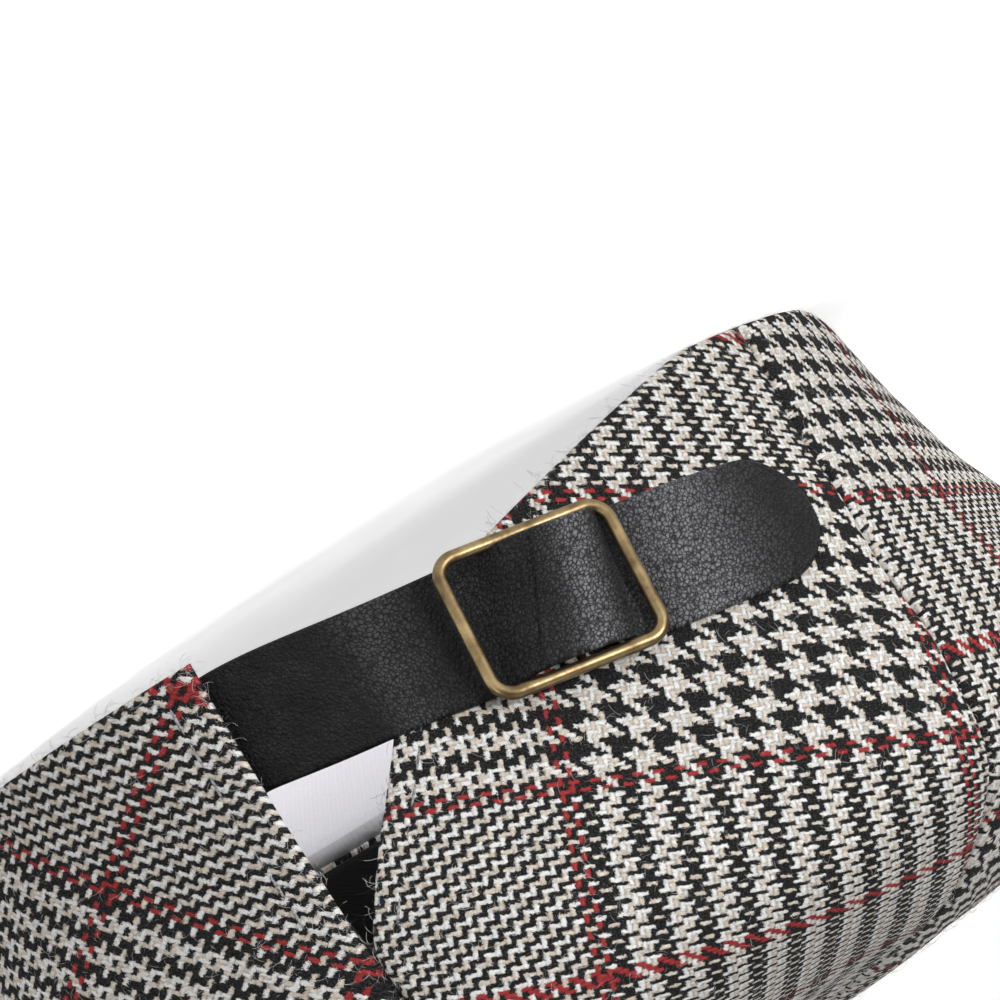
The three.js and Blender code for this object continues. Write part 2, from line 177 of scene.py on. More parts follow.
# Depths of the reliefs in metres
WOOL_RELIEF = 0.0002
THREAD_RELIEF = 0.0001
LEATHER_RELIEF = 0.00021
BRASS_RELIEF = 0.00003
LINING_RELIEF = 0.0001

# Leather: pebbles and finest marks to a millimetre, and how steeply a pebble falls
PEBBLES = 1.7
SMALL_PEBBLES = 3.6
FACE_MARKS = 6.0
PEBBLE_FALL = 1.3

# Shades that a finish mixes with its own colour
THREAD_SHADE = (0.06, 0.06, 0.065, 1)
LINING_SHADE = (0.006, 0.006, 0.007, 1)
FLOOR_SHADE = (0.86, 0.86, 0.86, 1)

# Stitches, loose fibres and the room that the fibres leave round the strap
STITCH_SIDES = 8
STITCH_RINGS = 6
STITCH_RISE = 0.22
FIBRE_BEND = {"Start": (0, 0, -0.04), "Middle": (0.45, 0.4, 0.42), "End": (1, 0.1, 0.2)}
FIBRE_STEPS = 5
FIBRE_SIDES = 3
FIBRE_RADIUS = 0.006
FIBRE_SHORTEST = 0.35
FUZZ_SEED = 7
STRAY_SEED = 3
STRAY_LENGTH = 1.3
STRAY_CROWD = 3.0
STRAY_STEPS = 6
SIDE_SHARE = 0.3
STRAP_SHOWS = 0.28
STRAP_CLEAR = 12.5
COVER_SAMPLES = 90

# Strap: its middle line on the wall by angle, rise from the rim and stand-off, and half its width
STRAP_HALF = 9.8
TAIL_HALF = 10.3
Station = namedtuple("Station", "place angle rise proud half")
STRAP = (
    Station("sewn end", -28, 12.4, -3.1, STRAP_HALF),
    Station("under the left panel", -17, 12.2, -3.1, STRAP_HALF),
    Station("left edge of the notch", -9, 11.4, -3.1, STRAP_HALF),
    Station("middle of the notch", -3.7, 9.8, -0.9, STRAP_HALF),
    Station("right edge of the notch", 1.4, 6.0, 1.35, STRAP_HALF),
    Station("on the edge", 7.5, 5.0, 1.2, STRAP_HALF),
    Station("left bar", 13.6, 8.3, 1.1, STRAP_HALF),
    Station("into the window", 16.2, 10.1, 1.5, STRAP_HALF),
    Station("rising", 18.6, 11.8, 3.9, STRAP_HALF),
    Station("over the middle bar", 22, 14.2, 5.4, STRAP_HALF),
    Station("falling", 27.0, 17.3, 4.5, STRAP_HALF),
    Station("out of the window", 29.0, 18.5, 1.7, STRAP_HALF),
    Station("right bar", 30.8, 19.6, 1.1, 10.0),
    Station("on the right panel", 37, 23.5, 1.1, TAIL_HALF),
    Station("tip", 48.8, 31.0, 1.1, TAIL_HALF),
)
BAR_STATION = 9

# Rows and columns of the strap, its cut edge, its tip and where it hangs free
STRAP_STEP = 0.3
STRAP_SAMPLES = 301
STRAP_EDGE = (0, 0.06, 0.18, 0.36, 0.6, 1.0, 1.8)
STRAP_COLUMNS = 18
STRAP_EDGE_RADIUS = 0.6
TIP_LENGTH = 9.8
TIP_STEPS = 24
TIP_BLUNT = 0.0004
FREE_START = (0.13, 0.2)
FREE_END = (0.36, 0.43)
SETTLE_STEPS = 880

# Crease beside the middle bar: a cut between two raised shoulders
CREASE_DEPTH = 0.3
CREASE_WIDTH = 0.5
CREASE_SHIFT = -3.0
CREASE_LEAN = 0.12
CREASE_SHOULDER = 3
CREASE_CUT = 2

# Bands where a highlight is painted on the strap and the leather is made glossier, counted in stations,
# with the reach and strength of each band
SheenBand = namedtuple("SheenBand", "station reach strength")
SHEEN_BANDS = (SheenBand(9.6, 3.2, 0.9), SheenBand(12.9, 9.0, 1.0), SheenBand(4.9, 5.0, 0.22))

# Room that the lining leaves for the sewn end of the strap
ROOM_START = -48
ROOM_FULL = -28
ROOM_END = 4
ROOM_LOW = 0.26
ROOM_HIGH = 0.4

# Lining: its grid, its rise and weave, and rough millimetres of rim to a degree
LINING_COLUMNS = 220
LINING_ROWS = 64
LINING_RISE = 160
LINING_WEAVE = 11
RIM_PER_DEGREE = 1.7

# Buckle and the pad under it
BUCKLE_LENGTH = 28.9
BUCKLE_WIDTH = 24.2
BUCKLE_WIRE = 2.0
BUCKLE_CORNER = 3.2
BUCKLE_PROUD = 3.6
BAR_WIRE = 1.4
SEAT_REACH = 0.05
CORNERS = ((1, 1), (-1, 1), (-1, -1), (1, -1))
WIRE_SIDES = 24
CORNER_STEPS = 14
STRAIGHT_STEPS = 12
TAB_LENGTH = 8
TAB_WIDTH = 14
TAB_PROUD = 0.6
TAB_HEIGHT = 1.8
TAB_BEVEL = 0.5
TAB_BEVEL_STEPS = 3

# Peak and button
PEAK_HALF_ANGLE = 64
PEAK_REACH = 56
PEAK_END_REACH = 3
PEAK_TAPER = 1.05
PEAK_FORWARD = 0.55
PEAK_THICKNESS = 3.6
PEAK_REST = 0.9
PEAK_TUCK = 0.9
PEAK_FOOT = 0.004
PEAK_TURN = 2.5
PEAK_COLUMNS = 150
PEAK_ROWS = 40
PEAK_SPREAD = 0.9
BUTTON_RADIUS = 9.5
BUTTON_HEIGHT = 4.5
BUTTON_FOOT_RADIUS = 8.2
BUTTON_FOOT_HEIGHT = 0.9
BUTTON_ROUNDNESS = 0.7
BUTTON_STEPS = 18
BUTTON_SIDES = 64

# Floor, sky and lamps, in metres and watts
FLOOR_RADIUS = 6.0
FLOOR_SIDES = 96
FLOOR_DROP = 0.0002
FLOOR_GLOW = 0.76
SKY_LIGHT = 0.1
LAMP_AIM = (0.02, 0.05, 0.05)
Lamp = namedtuple("Lamp", "name place size power")
LAMPS = (
    Lamp("key", (1.05, 0.85, 0.22), 0.4, 17),
    Lamp("low", (-0.7, 1.0, 0.3), 0.4, 2),
    Lamp("top", (0.0, 0.5, 1.4), 1.2, 6),
    Lamp("front", (-0.5, -1.2, 0.6), 0.8, 12),
)

# View: degrees round the back from +Y towards +X, above the floor and of roll, the distance,
# the width of the picture at that distance, the place that it looks at, how far that place
# slides across and up the picture, and the nearest that it sees
VIEW_TURN = 6.43
VIEW_CLIMB = 6.0
VIEW_ROLL = 212.46
VIEW_DISTANCE = 600.0
VIEW_WIDTH = 140.66
VIEW_CENTRE = (36.0, 100.0, 24.0)
VIEW_SLIDE = (0.13, -15.99)
VIEW_NEAR = 10.0


def column(rows, name):
    return np.array([getattr(row, name) for row in rows], float)


def along(values, place):
    """Smooth curve through evenly spaced values, read at places 0..1."""
    last = len(values) - 1
    spot = np.clip(place, 0, 1) * last
    low = np.minimum(np.floor(spot).astype(int), last - 1)
    share = spot - low
    padded = np.pad(np.asarray(values, float), 1, mode="edge")
    before, start, end, after = (padded[low + step] for step in range(4))
    square, cube = share**2, share**3
    return (
        (2 * cube - 3 * square + 1) * start
        + (cube - 2 * square + share) * (end - before) / 2
        + (3 * square - 2 * cube) * end
        + (cube - square) * (after - start) / 2
    )


def ring(name, level):
    return along(column(RINGS, name), level)


def smoothstep(value, low, high):
    share = np.clip((np.asarray(value, float) - low) / (high - low), 0, 1)
    return share * share * (3 - 2 * share)


def unit(vectors):
    return vectors / np.maximum(np.linalg.norm(vectors, axis=-1, keepdims=True), 1e-9)


def lengths_along(points):
    """Running length along the last line axis of an array of points."""
    steps = np.linalg.norm(np.diff(points, axis=-2), axis=-1)
    return np.concatenate([np.zeros(steps.shape[:-1] + (1,)), np.cumsum(steps, axis=-1)], axis=-1)


def rim_lift(angle):
    side = smoothstep(angle, -NOTCH_HALF_ANGLE, NOTCH_HALF_ANGLE)
    corner = CORNER_LIFT_LEFT + (CORNER_LIFT_RIGHT - CORNER_LIFT_LEFT) * side
    reach = np.maximum(1 - np.abs(angle) / CORNER_REACH, 0) ** CORNER_FALL
    return corner * reach + RIM_LIFT * smoothstep(np.abs(angle), LIFT_START, LIFT_END)


def lift_fade(height):
    return np.maximum(1 - height / LIFT_FADE_HEIGHT, 0) ** LIFT_FADE_POWER


def seams_at(level):
    """Angles of one side's five seams, from the middle of the back to the middle of the front."""
    first = ring("seam", level)
    step = (180 - first) / (len(PANEL_NAMES) - 1)
    later = [first + step * index for index in range(len(PANEL_NAMES))]
    return np.stack([np.zeros_like(first), *later], axis=-1)


def panel_share(angle, level):
    """Share of the radius that a panel keeps where it is drawn straight between its seams."""
    first = ring("seam", level)
    step = (180 - first) / (len(PANEL_NAMES) - 1)
    side = np.minimum(np.abs(angle), 180)
    place = np.clip(np.ceil((side - first) / step - 1e-9), 1, len(PANEL_NAMES) - 1)
    middle = first + (place - 0.5) * step
    straight = np.cos(np.radians(step / 2)) / np.cos(np.radians(side - middle))
    flattest = 1 - np.cos(np.radians(first / 2))
    rounded = 1 - flattest * np.sin(np.pi * side / first) ** 2
    return np.where(side <= first, rounded, straight)


def smooth_wall(angle, level):
    """Outer face of the wool before it settles."""
    angle, level = np.broadcast_arrays(np.asarray(angle, float), np.asarray(level, float))
    turned = (angle + 180) % 360 - 180
    turn = np.radians(turned)
    height = ring("height", level)
    share = 1 - ring("flat", level) * (1 - panel_share(turned, level))
    reach = np.where(np.cos(turn) >= 0, ring("back", level), ring("front", level))
    return np.stack(
        [
            ring("half_width", level) * share * np.sin(turn),
            reach * share * np.cos(turn),
            height + rim_lift(turned) * lift_fade(height),
        ],
        axis=-1,
    )


def outward(angle, level):
    """Ways straight off the wall."""
    step, rise = 0.8, 0.006
    around = smooth_wall(angle + step, level) - smooth_wall(angle - step, level)
    higher = smooth_wall(angle, np.minimum(level + rise, 1))
    lower = smooth_wall(angle, np.maximum(level - rise, 0))
    return unit(np.cross(higher - lower, around))


def dent_depth(angle, level):
    depth = np.zeros(np.broadcast(angle, level).shape)
    for dent in DENTS:
        off = ((angle - dent.angle + 180) % 360 - 180) / dent.wide
        depth += dent.depth * np.exp(-(off**2) - ((level - dent.level) / dent.tall) ** 2)
    return depth


def wall(angle, level, proud, square_rim=True):
    """Points off the settled outer face; close to the rim the offset turns level."""
    angle, level = np.broadcast_arrays(np.asarray(angle, float), np.asarray(level, float))
    normal = outward(angle, level)
    if square_rim:
        whole = np.ones_like(level)
        normal = unit(normal * np.stack([whole, whole, smoothstep(level, 0, RIM_TURN)], axis=-1))
    return smooth_wall(angle, level) + normal * (proud - dent_depth(angle, level))[..., None]


def runs_up(angle):
    """Lengths up the wall from the rim at even levels, one row for each angle."""
    samples = np.linspace(0, 1, LEVEL_SAMPLES)
    return lengths_along(smooth_wall(np.asarray(angle, float)[:, None], samples[None, :]))


def level_at(angle, rise):
    """Levels where the wall's length up from the rim reaches each rise."""
    angle, rise = np.broadcast_arrays(np.asarray(angle, float), np.asarray(rise, float))
    samples = np.linspace(0, 1, LEVEL_SAMPLES)
    rows = zip(rise.ravel(), runs_up(angle.ravel()))
    return np.array([np.interp(up, runs, samples) for up, runs in rows]).reshape(angle.shape)


def millimetres_per_degree(angle, level):
    return np.linalg.norm(smooth_wall(angle + 1, level) - smooth_wall(angle - 1, level), axis=-1) / 2


def notch_edges(level, set_back=0.0):
    """Angles of the notch's edges, above its apex of the back seam, and how far it stands open."""
    rise = np.interp(level, np.linspace(0, 1, LEVEL_SAMPLES), runs_up([0.0])[0])
    opening = np.maximum(1 - rise / NOTCH_DEPTH, 0)
    away = set_back * np.minimum(opening * SET_BACK_FADE, 1) + GAP / 2
    lean = NOTCH_LEAN * (1 - opening) * (1 - smoothstep(level, LEAN_END, 1))
    scale = millimetres_per_degree(np.zeros_like(level), level)
    left = (-NOTCH_WIDTH_LEFT * opening - away - lean) / scale
    right = (NOTCH_WIDTH_RIGHT * opening + away - lean) / scale
    return left, right, opening


def cap_place():
    """Shift from the cap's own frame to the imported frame, in millimetres."""
    low, high = (np.array(corner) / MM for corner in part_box("crown_button"))
    base = RINGS[-1].height + GAP
    return np.array([(low[0] + high[0]) / 2, (low[1] + high[1]) / 2, low[2] - base])


CAP_PLACE = cap_place()


def to_frame(points):
    return (points + CAP_PLACE) * MM


def rolled(distance, radius):
    """Drop of a rounded edge at a distance from it."""
    inside = np.clip(1 - distance / radius, 0, 1)
    return 1 - np.sqrt(np.maximum(1 - inside**2, 0))


def linked(name, data):
    """New object in the scene's collection."""
    made = bpy.data.objects.new(name, data)
    bpy.context.scene.collection.objects.link(made)
    return made


def new_piece(name, points, faces, material, threads=None):
    """Mesh object from points in metres, with its thread places, doubles merged, faces out."""
    mesh = bpy.data.meshes.new(name)
    mesh.from_pydata(points.tolist(), [], [list(face) for face in faces])
    if threads is not None:
        layer = mesh.attributes.new("threads", "FLOAT_VECTOR", "POINT")
        layer.data.foreach_set("vector", np.ascontiguousarray(threads, np.float32).ravel())
    build = bmesh.new()
    build.from_mesh(mesh)
    bmesh.ops.remove_doubles(build, verts=build.verts, dist=MERGE_REACH)
    if build.calc_volume(signed=True) < 0:
        bmesh.ops.reverse_faces(build, faces=build.faces)
    build.to_mesh(mesh)
    build.free()
    mesh.shade_smooth()
    mesh.materials.append(material)
    return linked(name, mesh)


def grid_quads(rows, columns):
    """Point numbers of a grid, and its quads."""
    index = np.arange(rows * columns).reshape(rows, columns)
    quads = np.stack([index[:-1, :-1], index[:-1, 1:], index[1:, 1:], index[1:, :-1]], axis=-1)
    return index, quads.reshape(-1, 4)


def shell_faces(rows, columns):
    """Quads of a closed sheet: an outer grid, an inner grid and the four borders."""
    index, quads = grid_quads(rows, columns)
    layer = rows * columns
    border = np.concatenate([index[0, :], index[1:, -1], index[-1, -2::-1], index[-2:0:-1, 0]])
    after = np.roll(border, -1)
    sides = np.stack([after, border, border + layer, after + layer], axis=-1)
    return np.concatenate([quads, quads[:, ::-1] + layer, sides])


def shell(name, outer, inner, material, threads, inner_threads=None):
    """Closed sheet piece from its outer and inner grids of points in the cap's frame."""
    rows, columns = outer.shape[:2]
    points = to_frame(np.concatenate([outer.reshape(-1, 3), inner.reshape(-1, 3)]))
    inside = threads if inner_threads is None else inner_threads
    both = np.concatenate([threads.reshape(-1, 3), inside.reshape(-1, 3)])
    return new_piece(name, points, shell_faces(rows, columns), material, both)


def finish_piece(piece, slot, *nodes):
    """Tie a piece to the cap's body and hide the solids that it stands for; slot is not used."""
    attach(piece, "root")
    if nodes:
        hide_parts(*nodes)
    return piece


def operator_pair(operation):
    """A Math node's operation as a Python operator and its reflected form."""

    def forward(wire, other):
        return wire.math(operation, wire, other)

    def reflected(wire, other):
        return wire.math(operation, other, wire)

    return forward, reflected


class Wire:
    """A node's output socket that takes part in Python arithmetic."""

    __add__, __radd__ = operator_pair("ADD")
    __sub__, __rsub__ = operator_pair("SUBTRACT")
    __mul__, __rmul__ = operator_pair("MULTIPLY")
    __truediv__, __rtruediv__ = operator_pair("DIVIDE")
    __mod__, __rmod__ = operator_pair("FLOORED_MODULO")
    __pow__, __rpow__ = operator_pair("POWER")
    __lt__ = operator_pair("LESS_THAN")[0]
    __gt__ = operator_pair("GREATER_THAN")[0]

    def __init__(self, web, socket):
        self.web = web
        self.socket = socket

    def math(self, operation, *values):
        return self.web.node("ShaderNodeMath", {"operation": operation}, *values)["Value"]

    def floor(self):
        return self.math("FLOOR", self)

    def most(self, other):
        return self.math("MAXIMUM", self, other)

    def near(self, value, reach):
        return self.math("COMPARE", self, value, reach)

    def wave(self):
        return self.math("SINE", self)

    def between(self, low, high):
        """0 below low and 1 above high, with a straight climb."""
        sockets = {"Value": self, "From_Min": low, "From_Max": high}
        return self.web.node("ShaderNodeMapRange", {"clamp": True}, **sockets)["Result"]

    def parts(self):
        split = self.web.node("ShaderNodeSeparateXYZ", None, self)
        return [split[axis] for axis in "XYZ"]


class Web:
    """A node tree under construction, in which one method makes every node."""

    def __init__(self, tree):
        self.tree = tree

    def node(self, kind, settings=None, *values, **sockets):
        """Outputs of a new node; a socket is named by its identifier, with _ for a space."""
        made = self.tree.nodes.new(kind)
        for key, value in (settings or {}).items():
            setattr(made, key, value)
        for socket, value in zip(made.inputs, values):
            self.plug(socket, value)
        named = {socket.identifier.replace(" ", "_"): socket for socket in made.inputs}
        for key, value in sockets.items():
            self.plug(named[key], value)
        return {socket.identifier: Wire(self, socket) for socket in made.outputs}

    def plug(self, socket, value):
        if isinstance(value, Wire):
            self.tree.links.new(value.socket, socket)
        else:
            socket.default_value = value


class Finish(Web):
    """A material under construction, written as expressions."""

    def __init__(self, name):
        self.material = bpy.data.materials.new(name)
        self.material.use_nodes = True
        super().__init__(self.material.node_tree)

    def mix(self, kind, share, first, second):
        settings = {"data_type": {"Float": "FLOAT", "Color": "RGBA", "Vector": "VECTOR"}[kind]}
        sockets = {"Factor_Float": share, "A_" + kind: first, "B_" + kind: second}
        return self.node("ShaderNodeMix", settings, **sockets)["Result_" + kind]

    def blend(self, share, first, second):
        """Mix of two colours."""
        return self.mix("Color", share, first, second)

    def level(self, share, first, second):
        """Mix of two numbers."""
        return self.mix("Float", share, first, second)

    def noise(self, vector, scale, detail=2.0, roughness=0.5, output="Fac"):
        sockets = {"Vector": vector, "Scale": scale, "Detail": detail, "Roughness": roughness}
        return self.node("ShaderNodeTexNoise", **sockets)[output]

    def cells(self, vector, scale, feature="F1"):
        settings = {"feature": feature}
        return self.node("ShaderNodeTexVoronoi", settings, Vector=vector, Scale=scale)["Distance"]

    def place(self):
        return self.node("ShaderNodeTexCoord")["Object"]

    def threads(self):
        """What the piece carries: thread numbers, or millimetres along and across and its share of
        painted highlight and gloss.
        """
        return self.node("ShaderNodeAttribute", {"attribute_name": "threads"})["Vector"]

    def vector(self, operation, *values):
        return self.node("ShaderNodeVectorMath", {"operation": operation}, *values)["Vector"]

    def bump(self, height, distance, strength=1.0):
        return self.node("ShaderNodeBump", Height=height, Distance=distance, Strength=strength)["Normal"]

    def set(self, **sockets):
        shader = self.tree.nodes["Principled BSDF"]
        for key, value in sockets.items():
            self.plug(shader.inputs[key.replace("_", " ")], value)
        return self.material


class Growth(Web):
    """A geometry tree under construction, with named inputs and a material at its end."""

    def __init__(self, name, **inputs):
        super().__init__(bpy.data.node_groups.new(name, "GeometryNodeTree"))
        interface = self.tree.interface
        self.marks = {}
        for word, kind in {"Geometry": "Geometry", **inputs, "Material": "Material"}.items():
            socket = interface.new_socket(word, in_out="INPUT", socket_type="NodeSocket" + kind)
            self.marks[word] = socket.identifier
        interface.new_socket("Geometry", in_out="OUTPUT", socket_type="NodeSocketGeometry")
        given = self.node("NodeGroupInput")
        self.given = {word: given[mark] for word, mark in self.marks.items()}

    def random(self, low, high, seed):
        """A number for each point, from a fixed seed."""
        settings = {"data_type": "FLOAT"}
        made = self.node("FunctionNodeRandomValue", settings, Min_001=low, Max_001=high, Seed=seed)
        return made["Value_001"]

    def close(self, instances):
        real = self.node("GeometryNodeRealizeInstances", Geometry=instances)["Geometry"]
        dressed = self.node("GeometryNodeSetMaterial", Geometry=real, Material=self.given["Material"])
        self.node("NodeGroupOutput", None, dressed["Geometry"])
        return self

    def grow(self, name, points, edges, faces, **values):
        """Plain mesh piece grown on points, edges and faces in the cap's frame."""
        bare = bpy.data.meshes.new(name)
        bare.from_pydata(to_frame(points).tolist(), edges, faces)
        piece = linked(name, bare)
        modifier = piece.modifiers.new(name, "NODES")
        modifier.node_group = self.tree
        for word, value in values.items():
            modifier[self.marks[word]] = value
        graph = bpy.context.evaluated_depsgraph_get()
        grown = bpy.data.meshes.new_from_object(piece.evaluated_get(graph))
        if not grown.polygons:
            raise RuntimeError(f"nothing grew for {name}")
        piece.modifiers.remove(modifier)
        piece.data = grown
        bpy.data.meshes.remove(bare)
        spots = np.empty(3 * len(grown.vertices), np.float32)
        grown.vertices.foreach_get("co", spots)
        spots[2::3] = np.maximum(spots[2::3], TABLE_CLEAR * MM)
        grown.vertices.foreach_set("co", spots)
        return piece


def colour(name, words, default):
    return FloatVectorProperty(
        name=name, description=words, subtype="COLOR", size=4, min=0, max=1, default=(*default, 1)
    )


def measure(name, words, default, low, high):
    return FloatProperty(
        name=name, description=words, default=default, min=low, max=high, unit="LENGTH"
    )


class CapCloth(bpy.types.PropertyGroup):
    """Threads and colours of the checked wool."""

    warp_pitch: measure("Warp pitch", "Width of one warp thread", 0.00086, 0.0003, 0.002)
    weft_pitch: measure("Weft pitch", "Width of one weft thread", 0.0006, 0.0003, 0.002)
    dark: colour("Dark thread", "Charcoal threads of the check", (0.01, 0.01, 0.0105))
    pale: colour("Pale thread", "Off-white threads of the check", (0.78, 0.77, 0.75))
    beige: colour("Beige thread", "Beige threads of the check", (0.6, 0.52, 0.43))
    red: colour("Red thread", "Threads of the overcheck", (0.33, 0.028, 0.03))
    fuzz: colour("Fuzz", "Loose fibres over the threads", (0.2, 0.195, 0.19))
    under: colour("Underside", "Plain cloth under the peak", (0.76, 0.75, 0.78))
    gap: colour("Gaps", "Shade between the threads", (0.006, 0.006, 0.007))


class CapTrim(bpy.types.PropertyGroup):
    """Colours of the strap, the buckle and the lining."""

    # Leather is mostly the colour of a painted highlight, shown where the strap's sheen is painted, with
    # a faint random mottle; leather_deep is the strap's own black, left in the creases and everywhere
    # else
    leather: colour("Leather", "Face of the strap", (0.16, 0.16, 0.17))
    leather_deep: colour("Leather creases", "Creases of the strap", (0.003, 0.003, 0.0032))
    brass: colour("Brass", "Rubbed brass of the buckle", (0.36, 0.27, 0.14))
    brass_dull: colour("Dull brass", "Dull spots on the buckle", (0.13, 0.09, 0.045))
    lining: colour("Lining", "Black cloth inside", (0.012, 0.012, 0.013))


class CapSewing(bpy.types.PropertyGroup):
    """Stitches along the notch and loose fibres on the wool."""

    stitch_pitch: measure("Stitch pitch", "From one stitch to the next", 0.0052, 0.001, 0.02)
    stitch_length: measure("Stitch length", "Length of thread that shows", 0.0044, 0.001, 0.02)
    thread: measure("Thread", "Thickness of the sewing thread", 0.0005, 0.0001, 0.002)
    thread_colour: colour("Thread colour", "Grey sewing thread", (0.32, 0.32, 0.34))
    fibre_length: measure("Fibre length", "Length of the longest fibres", 0.0028, 0.0005, 0.01)
    fibre_count: FloatProperty(
        name="Fibres", description="Loose fibres on a square metre of wool", default=350000,
        min=0, max=1000000,
    )
    pale_fibre: colour("Pale fibres", "Loose fibres of the pale threads", (0.72, 0.7, 0.67))
    dark_fibre: colour("Dark fibres", "Loose fibres of the dark threads", (0.04, 0.04, 0.042))


class CapSettings(bpy.types.PropertyGroup):
    """Everything on the cap that a user would change."""

    cloth: PointerProperty(type=CapCloth, name="Cloth", description="Checked wool")
    trim: PointerProperty(type=CapTrim, name="Trim", description="Leather, brass and lining")
    sewing: PointerProperty(type=CapSewing, name="Sewing", description="Stitches and fibres")
    floor_colour: colour("Floor", "Plain pale floor", (0.9, 0.9, 0.9))


def cap_settings():
    return bpy.context.scene.flat_cap


def pitches():
    """Widths of a warp and a weft thread in millimetres."""
    cloth = cap_settings().cloth
    return cloth.warp_pitch / MM, cloth.weft_pitch / MM


def check_colours(finish, index, block, broad_line):
    """Light, red and beige shares of a thread by its number in the check's repeat."""
    first = block + RED_GROUP / 2
    middle = block + RED_GROUP * 1.5 + FINE
    repeat = block + 3 * RED_GROUP + 2 * FINE
    number = index % repeat
    odd = (number % 2) > 0.5
    in_block = number < block - 0.5
    light = finish.level(in_block, odd, (number % (2 * BROAD)) > BROAD - 0.5)
    beige = finish.level(in_block, (number % 4) > 1.5, odd)
    lines = number.near(first, RED_THIN).most(number.near(repeat - RED_GROUP / 2, RED_THIN)) * odd
    centre = number.near(middle - 0.5, RED_BROAD) if broad_line else number.near(middle, RED_THIN) * odd
    return light, lines.most(centre), beige


def thread_round(beside, along_float, body):
    """Height of a thread's round top, from 1 at its middle down past 0 at its sides."""
    width, narrowing = body
    return 1 - (beside / (width - along_float**2 * narrowing)) ** 2


def wool_finish():
    """Checked wool: each thread of the twill with its own colour, roundness and fibres."""
    cloth = cap_settings().cloth
    finish = Finish("checked wool")
    threads = finish.threads()
    across, up, plain = threads.parts()
    plain = plain.between(0.45, 0.55)
    for scale, detail, roughness, push in WANDERS:
        wander = finish.noise(threads, scale, detail, roughness, "Color").parts()
        across = across + (wander[0] - 0.5) * push
        up = up + (wander[1] - 0.5) * push
    warp = across.floor()
    weft = up.floor()
    warp_top = ((warp - weft) % TWILL) < TWILL / 2 - 0.5
    along_warp = ((up - warp + 1) % TWILL) - 1
    along_weft = ((across - weft - 2) % TWILL) - 1
    round_warp = thread_round((across - warp) * 2 - 1, along_warp, WARP_BODY)
    round_weft = thread_round((up - weft) * 2 - 1, along_weft, WEFT_BODY)
    height = finish.level(warp_top, round_weft, round_warp)
    by_warp = check_colours(finish, warp, BLOCK_WARP, False)
    by_weft = check_colours(finish, weft, BLOCK_WEFT, True)
    light, red, beige = (finish.level(warp_top, b, a) for a, b in zip(by_warp, by_weft))
    lie_warp = finish.node("ShaderNodeCombineXYZ", None, across * 4 + up, up * 0.8, warp)
    lie_weft = finish.node("ShaderNodeCombineXYZ", None, across * 0.8, up * 4 + across, weft)
    lie = finish.mix("Vector", warp_top, lie_weft["Vector"], lie_warp["Vector"])
    fibre = (finish.noise(lie, 1.0, 3.0, 0.7) - 0.5) * 2
    tangle = finish.noise(threads, 2.4, 4.0, 0.85)
    beige = beige * finish.noise(threads, 0.9, 1.0).between(0.3, 0.55)
    tone = finish.blend(beige, cloth.pale, cloth.beige)
    tone = finish.blend(light, cloth.dark, tone)
    tone = finish.blend(red, tone, cloth.red)
    tone = finish.blend(plain, tone, cloth.under)
    tone = finish.blend(tangle.between(0.49, 0.7) * 0.5 * (1 - plain), tone, cloth.fuzz)
    lit = (height + fibre * 0.9).between(-0.9, 0.9)
    shade = (lit * 0.58 + 0.42 + light * 0.1) * (0.92 + fibre * 0.6)
    tone = finish.blend((1 - shade) * (1 - plain * 0.85), tone, cloth.gap)
    relief = (height.between(-1.0, 1.0) * 1.3 + fibre * 0.5 + tangle * 0.8) * (1 - plain * 0.8)
    return finish.set(
        Base_Color=tone,
        Roughness=0.95,
        Specular_IOR_Level=0.06,
        Normal=finish.bump(relief, WOOL_RELIEF),
    )


def panel_angles(index, side, level):
    """Start and end angles of a panel at each level, and how far the notch stands open there."""
    seams = seams_at(level)
    scale = millimetres_per_degree(side * seams[:, index], level)
    left, right, opening = notch_edges(level)
    start = side * (seams[:, index] + GAP / 2 / scale)
    if index == 0:
        start = right if side > 0 else left
    else:
        opening = np.zeros_like(level)
    end_scale = millimetres_per_degree(side * seams[:, index + 1], level)
    return start, side * (seams[:, index + 1] - GAP / 2 / end_scale), opening


def stepped(length, count):
    """Distances over a length: close together at both ends, even between."""
    steps = np.array(EDGE_STEPS) * min(1.0, length / (3 * EDGE_STEPS[-1]))
    inside = np.linspace(steps[-1], length - steps[-1], count)
    return np.concatenate([steps[:-1], inside, (length - steps[:-1])[::-1]])


def panel_grid(index, side):
    """Angles, levels, distances and widths over one panel."""
    middle = side * seams_at(np.array([PANEL_MIDDLE]))[0, index : index + 2].mean()
    runs = runs_up([middle])[0]
    even = np.arange(EDGE_STEPS[-1] + PANEL_STEP, runs[-1] - 1, PANEL_STEP)
    rises = np.concatenate([EDGE_STEPS, even, runs[-1:]])
    level = np.interp(rises, runs, np.linspace(0, 1, LEVEL_SAMPLES))
    start, end, opening = panel_angles(index, side, level)
    shares = np.linspace(0, 1, ROW_SAMPLES)
    lines = smooth_wall(start[:, None] + (end - start)[:, None] * shares, level[:, None])
    run = lengths_along(lines)
    count = int(run[:, -1].max() / PANEL_STEP)
    distance = np.stack([stepped(width, count) for width in run[:, -1]])
    share = np.stack([np.interp(d, r, shares) for d, r in zip(distance, run)])
    angle = start[:, None] + (end - start)[:, None] * share
    levels = np.broadcast_to(level[:, None], angle.shape)
    width = np.broadcast_to(run[:, -1:], angle.shape)
    rise = np.broadcast_to(rises[:, None], angle.shape)
    opening = np.broadcast_to(opening[:, None], angle.shape)
    return angle, levels, distance, width, rise, opening


def soft_wave(angle, level):
    """Slight unevenness of cloth that has been worn and handled."""
    waves = (
        wave.height * np.sin(np.radians(angle * wave.count) + wave.climb * level + wave.start)
        for wave in WAVES
    )
    return sum(waves) * smoothstep(level, *WAVE_FADE)


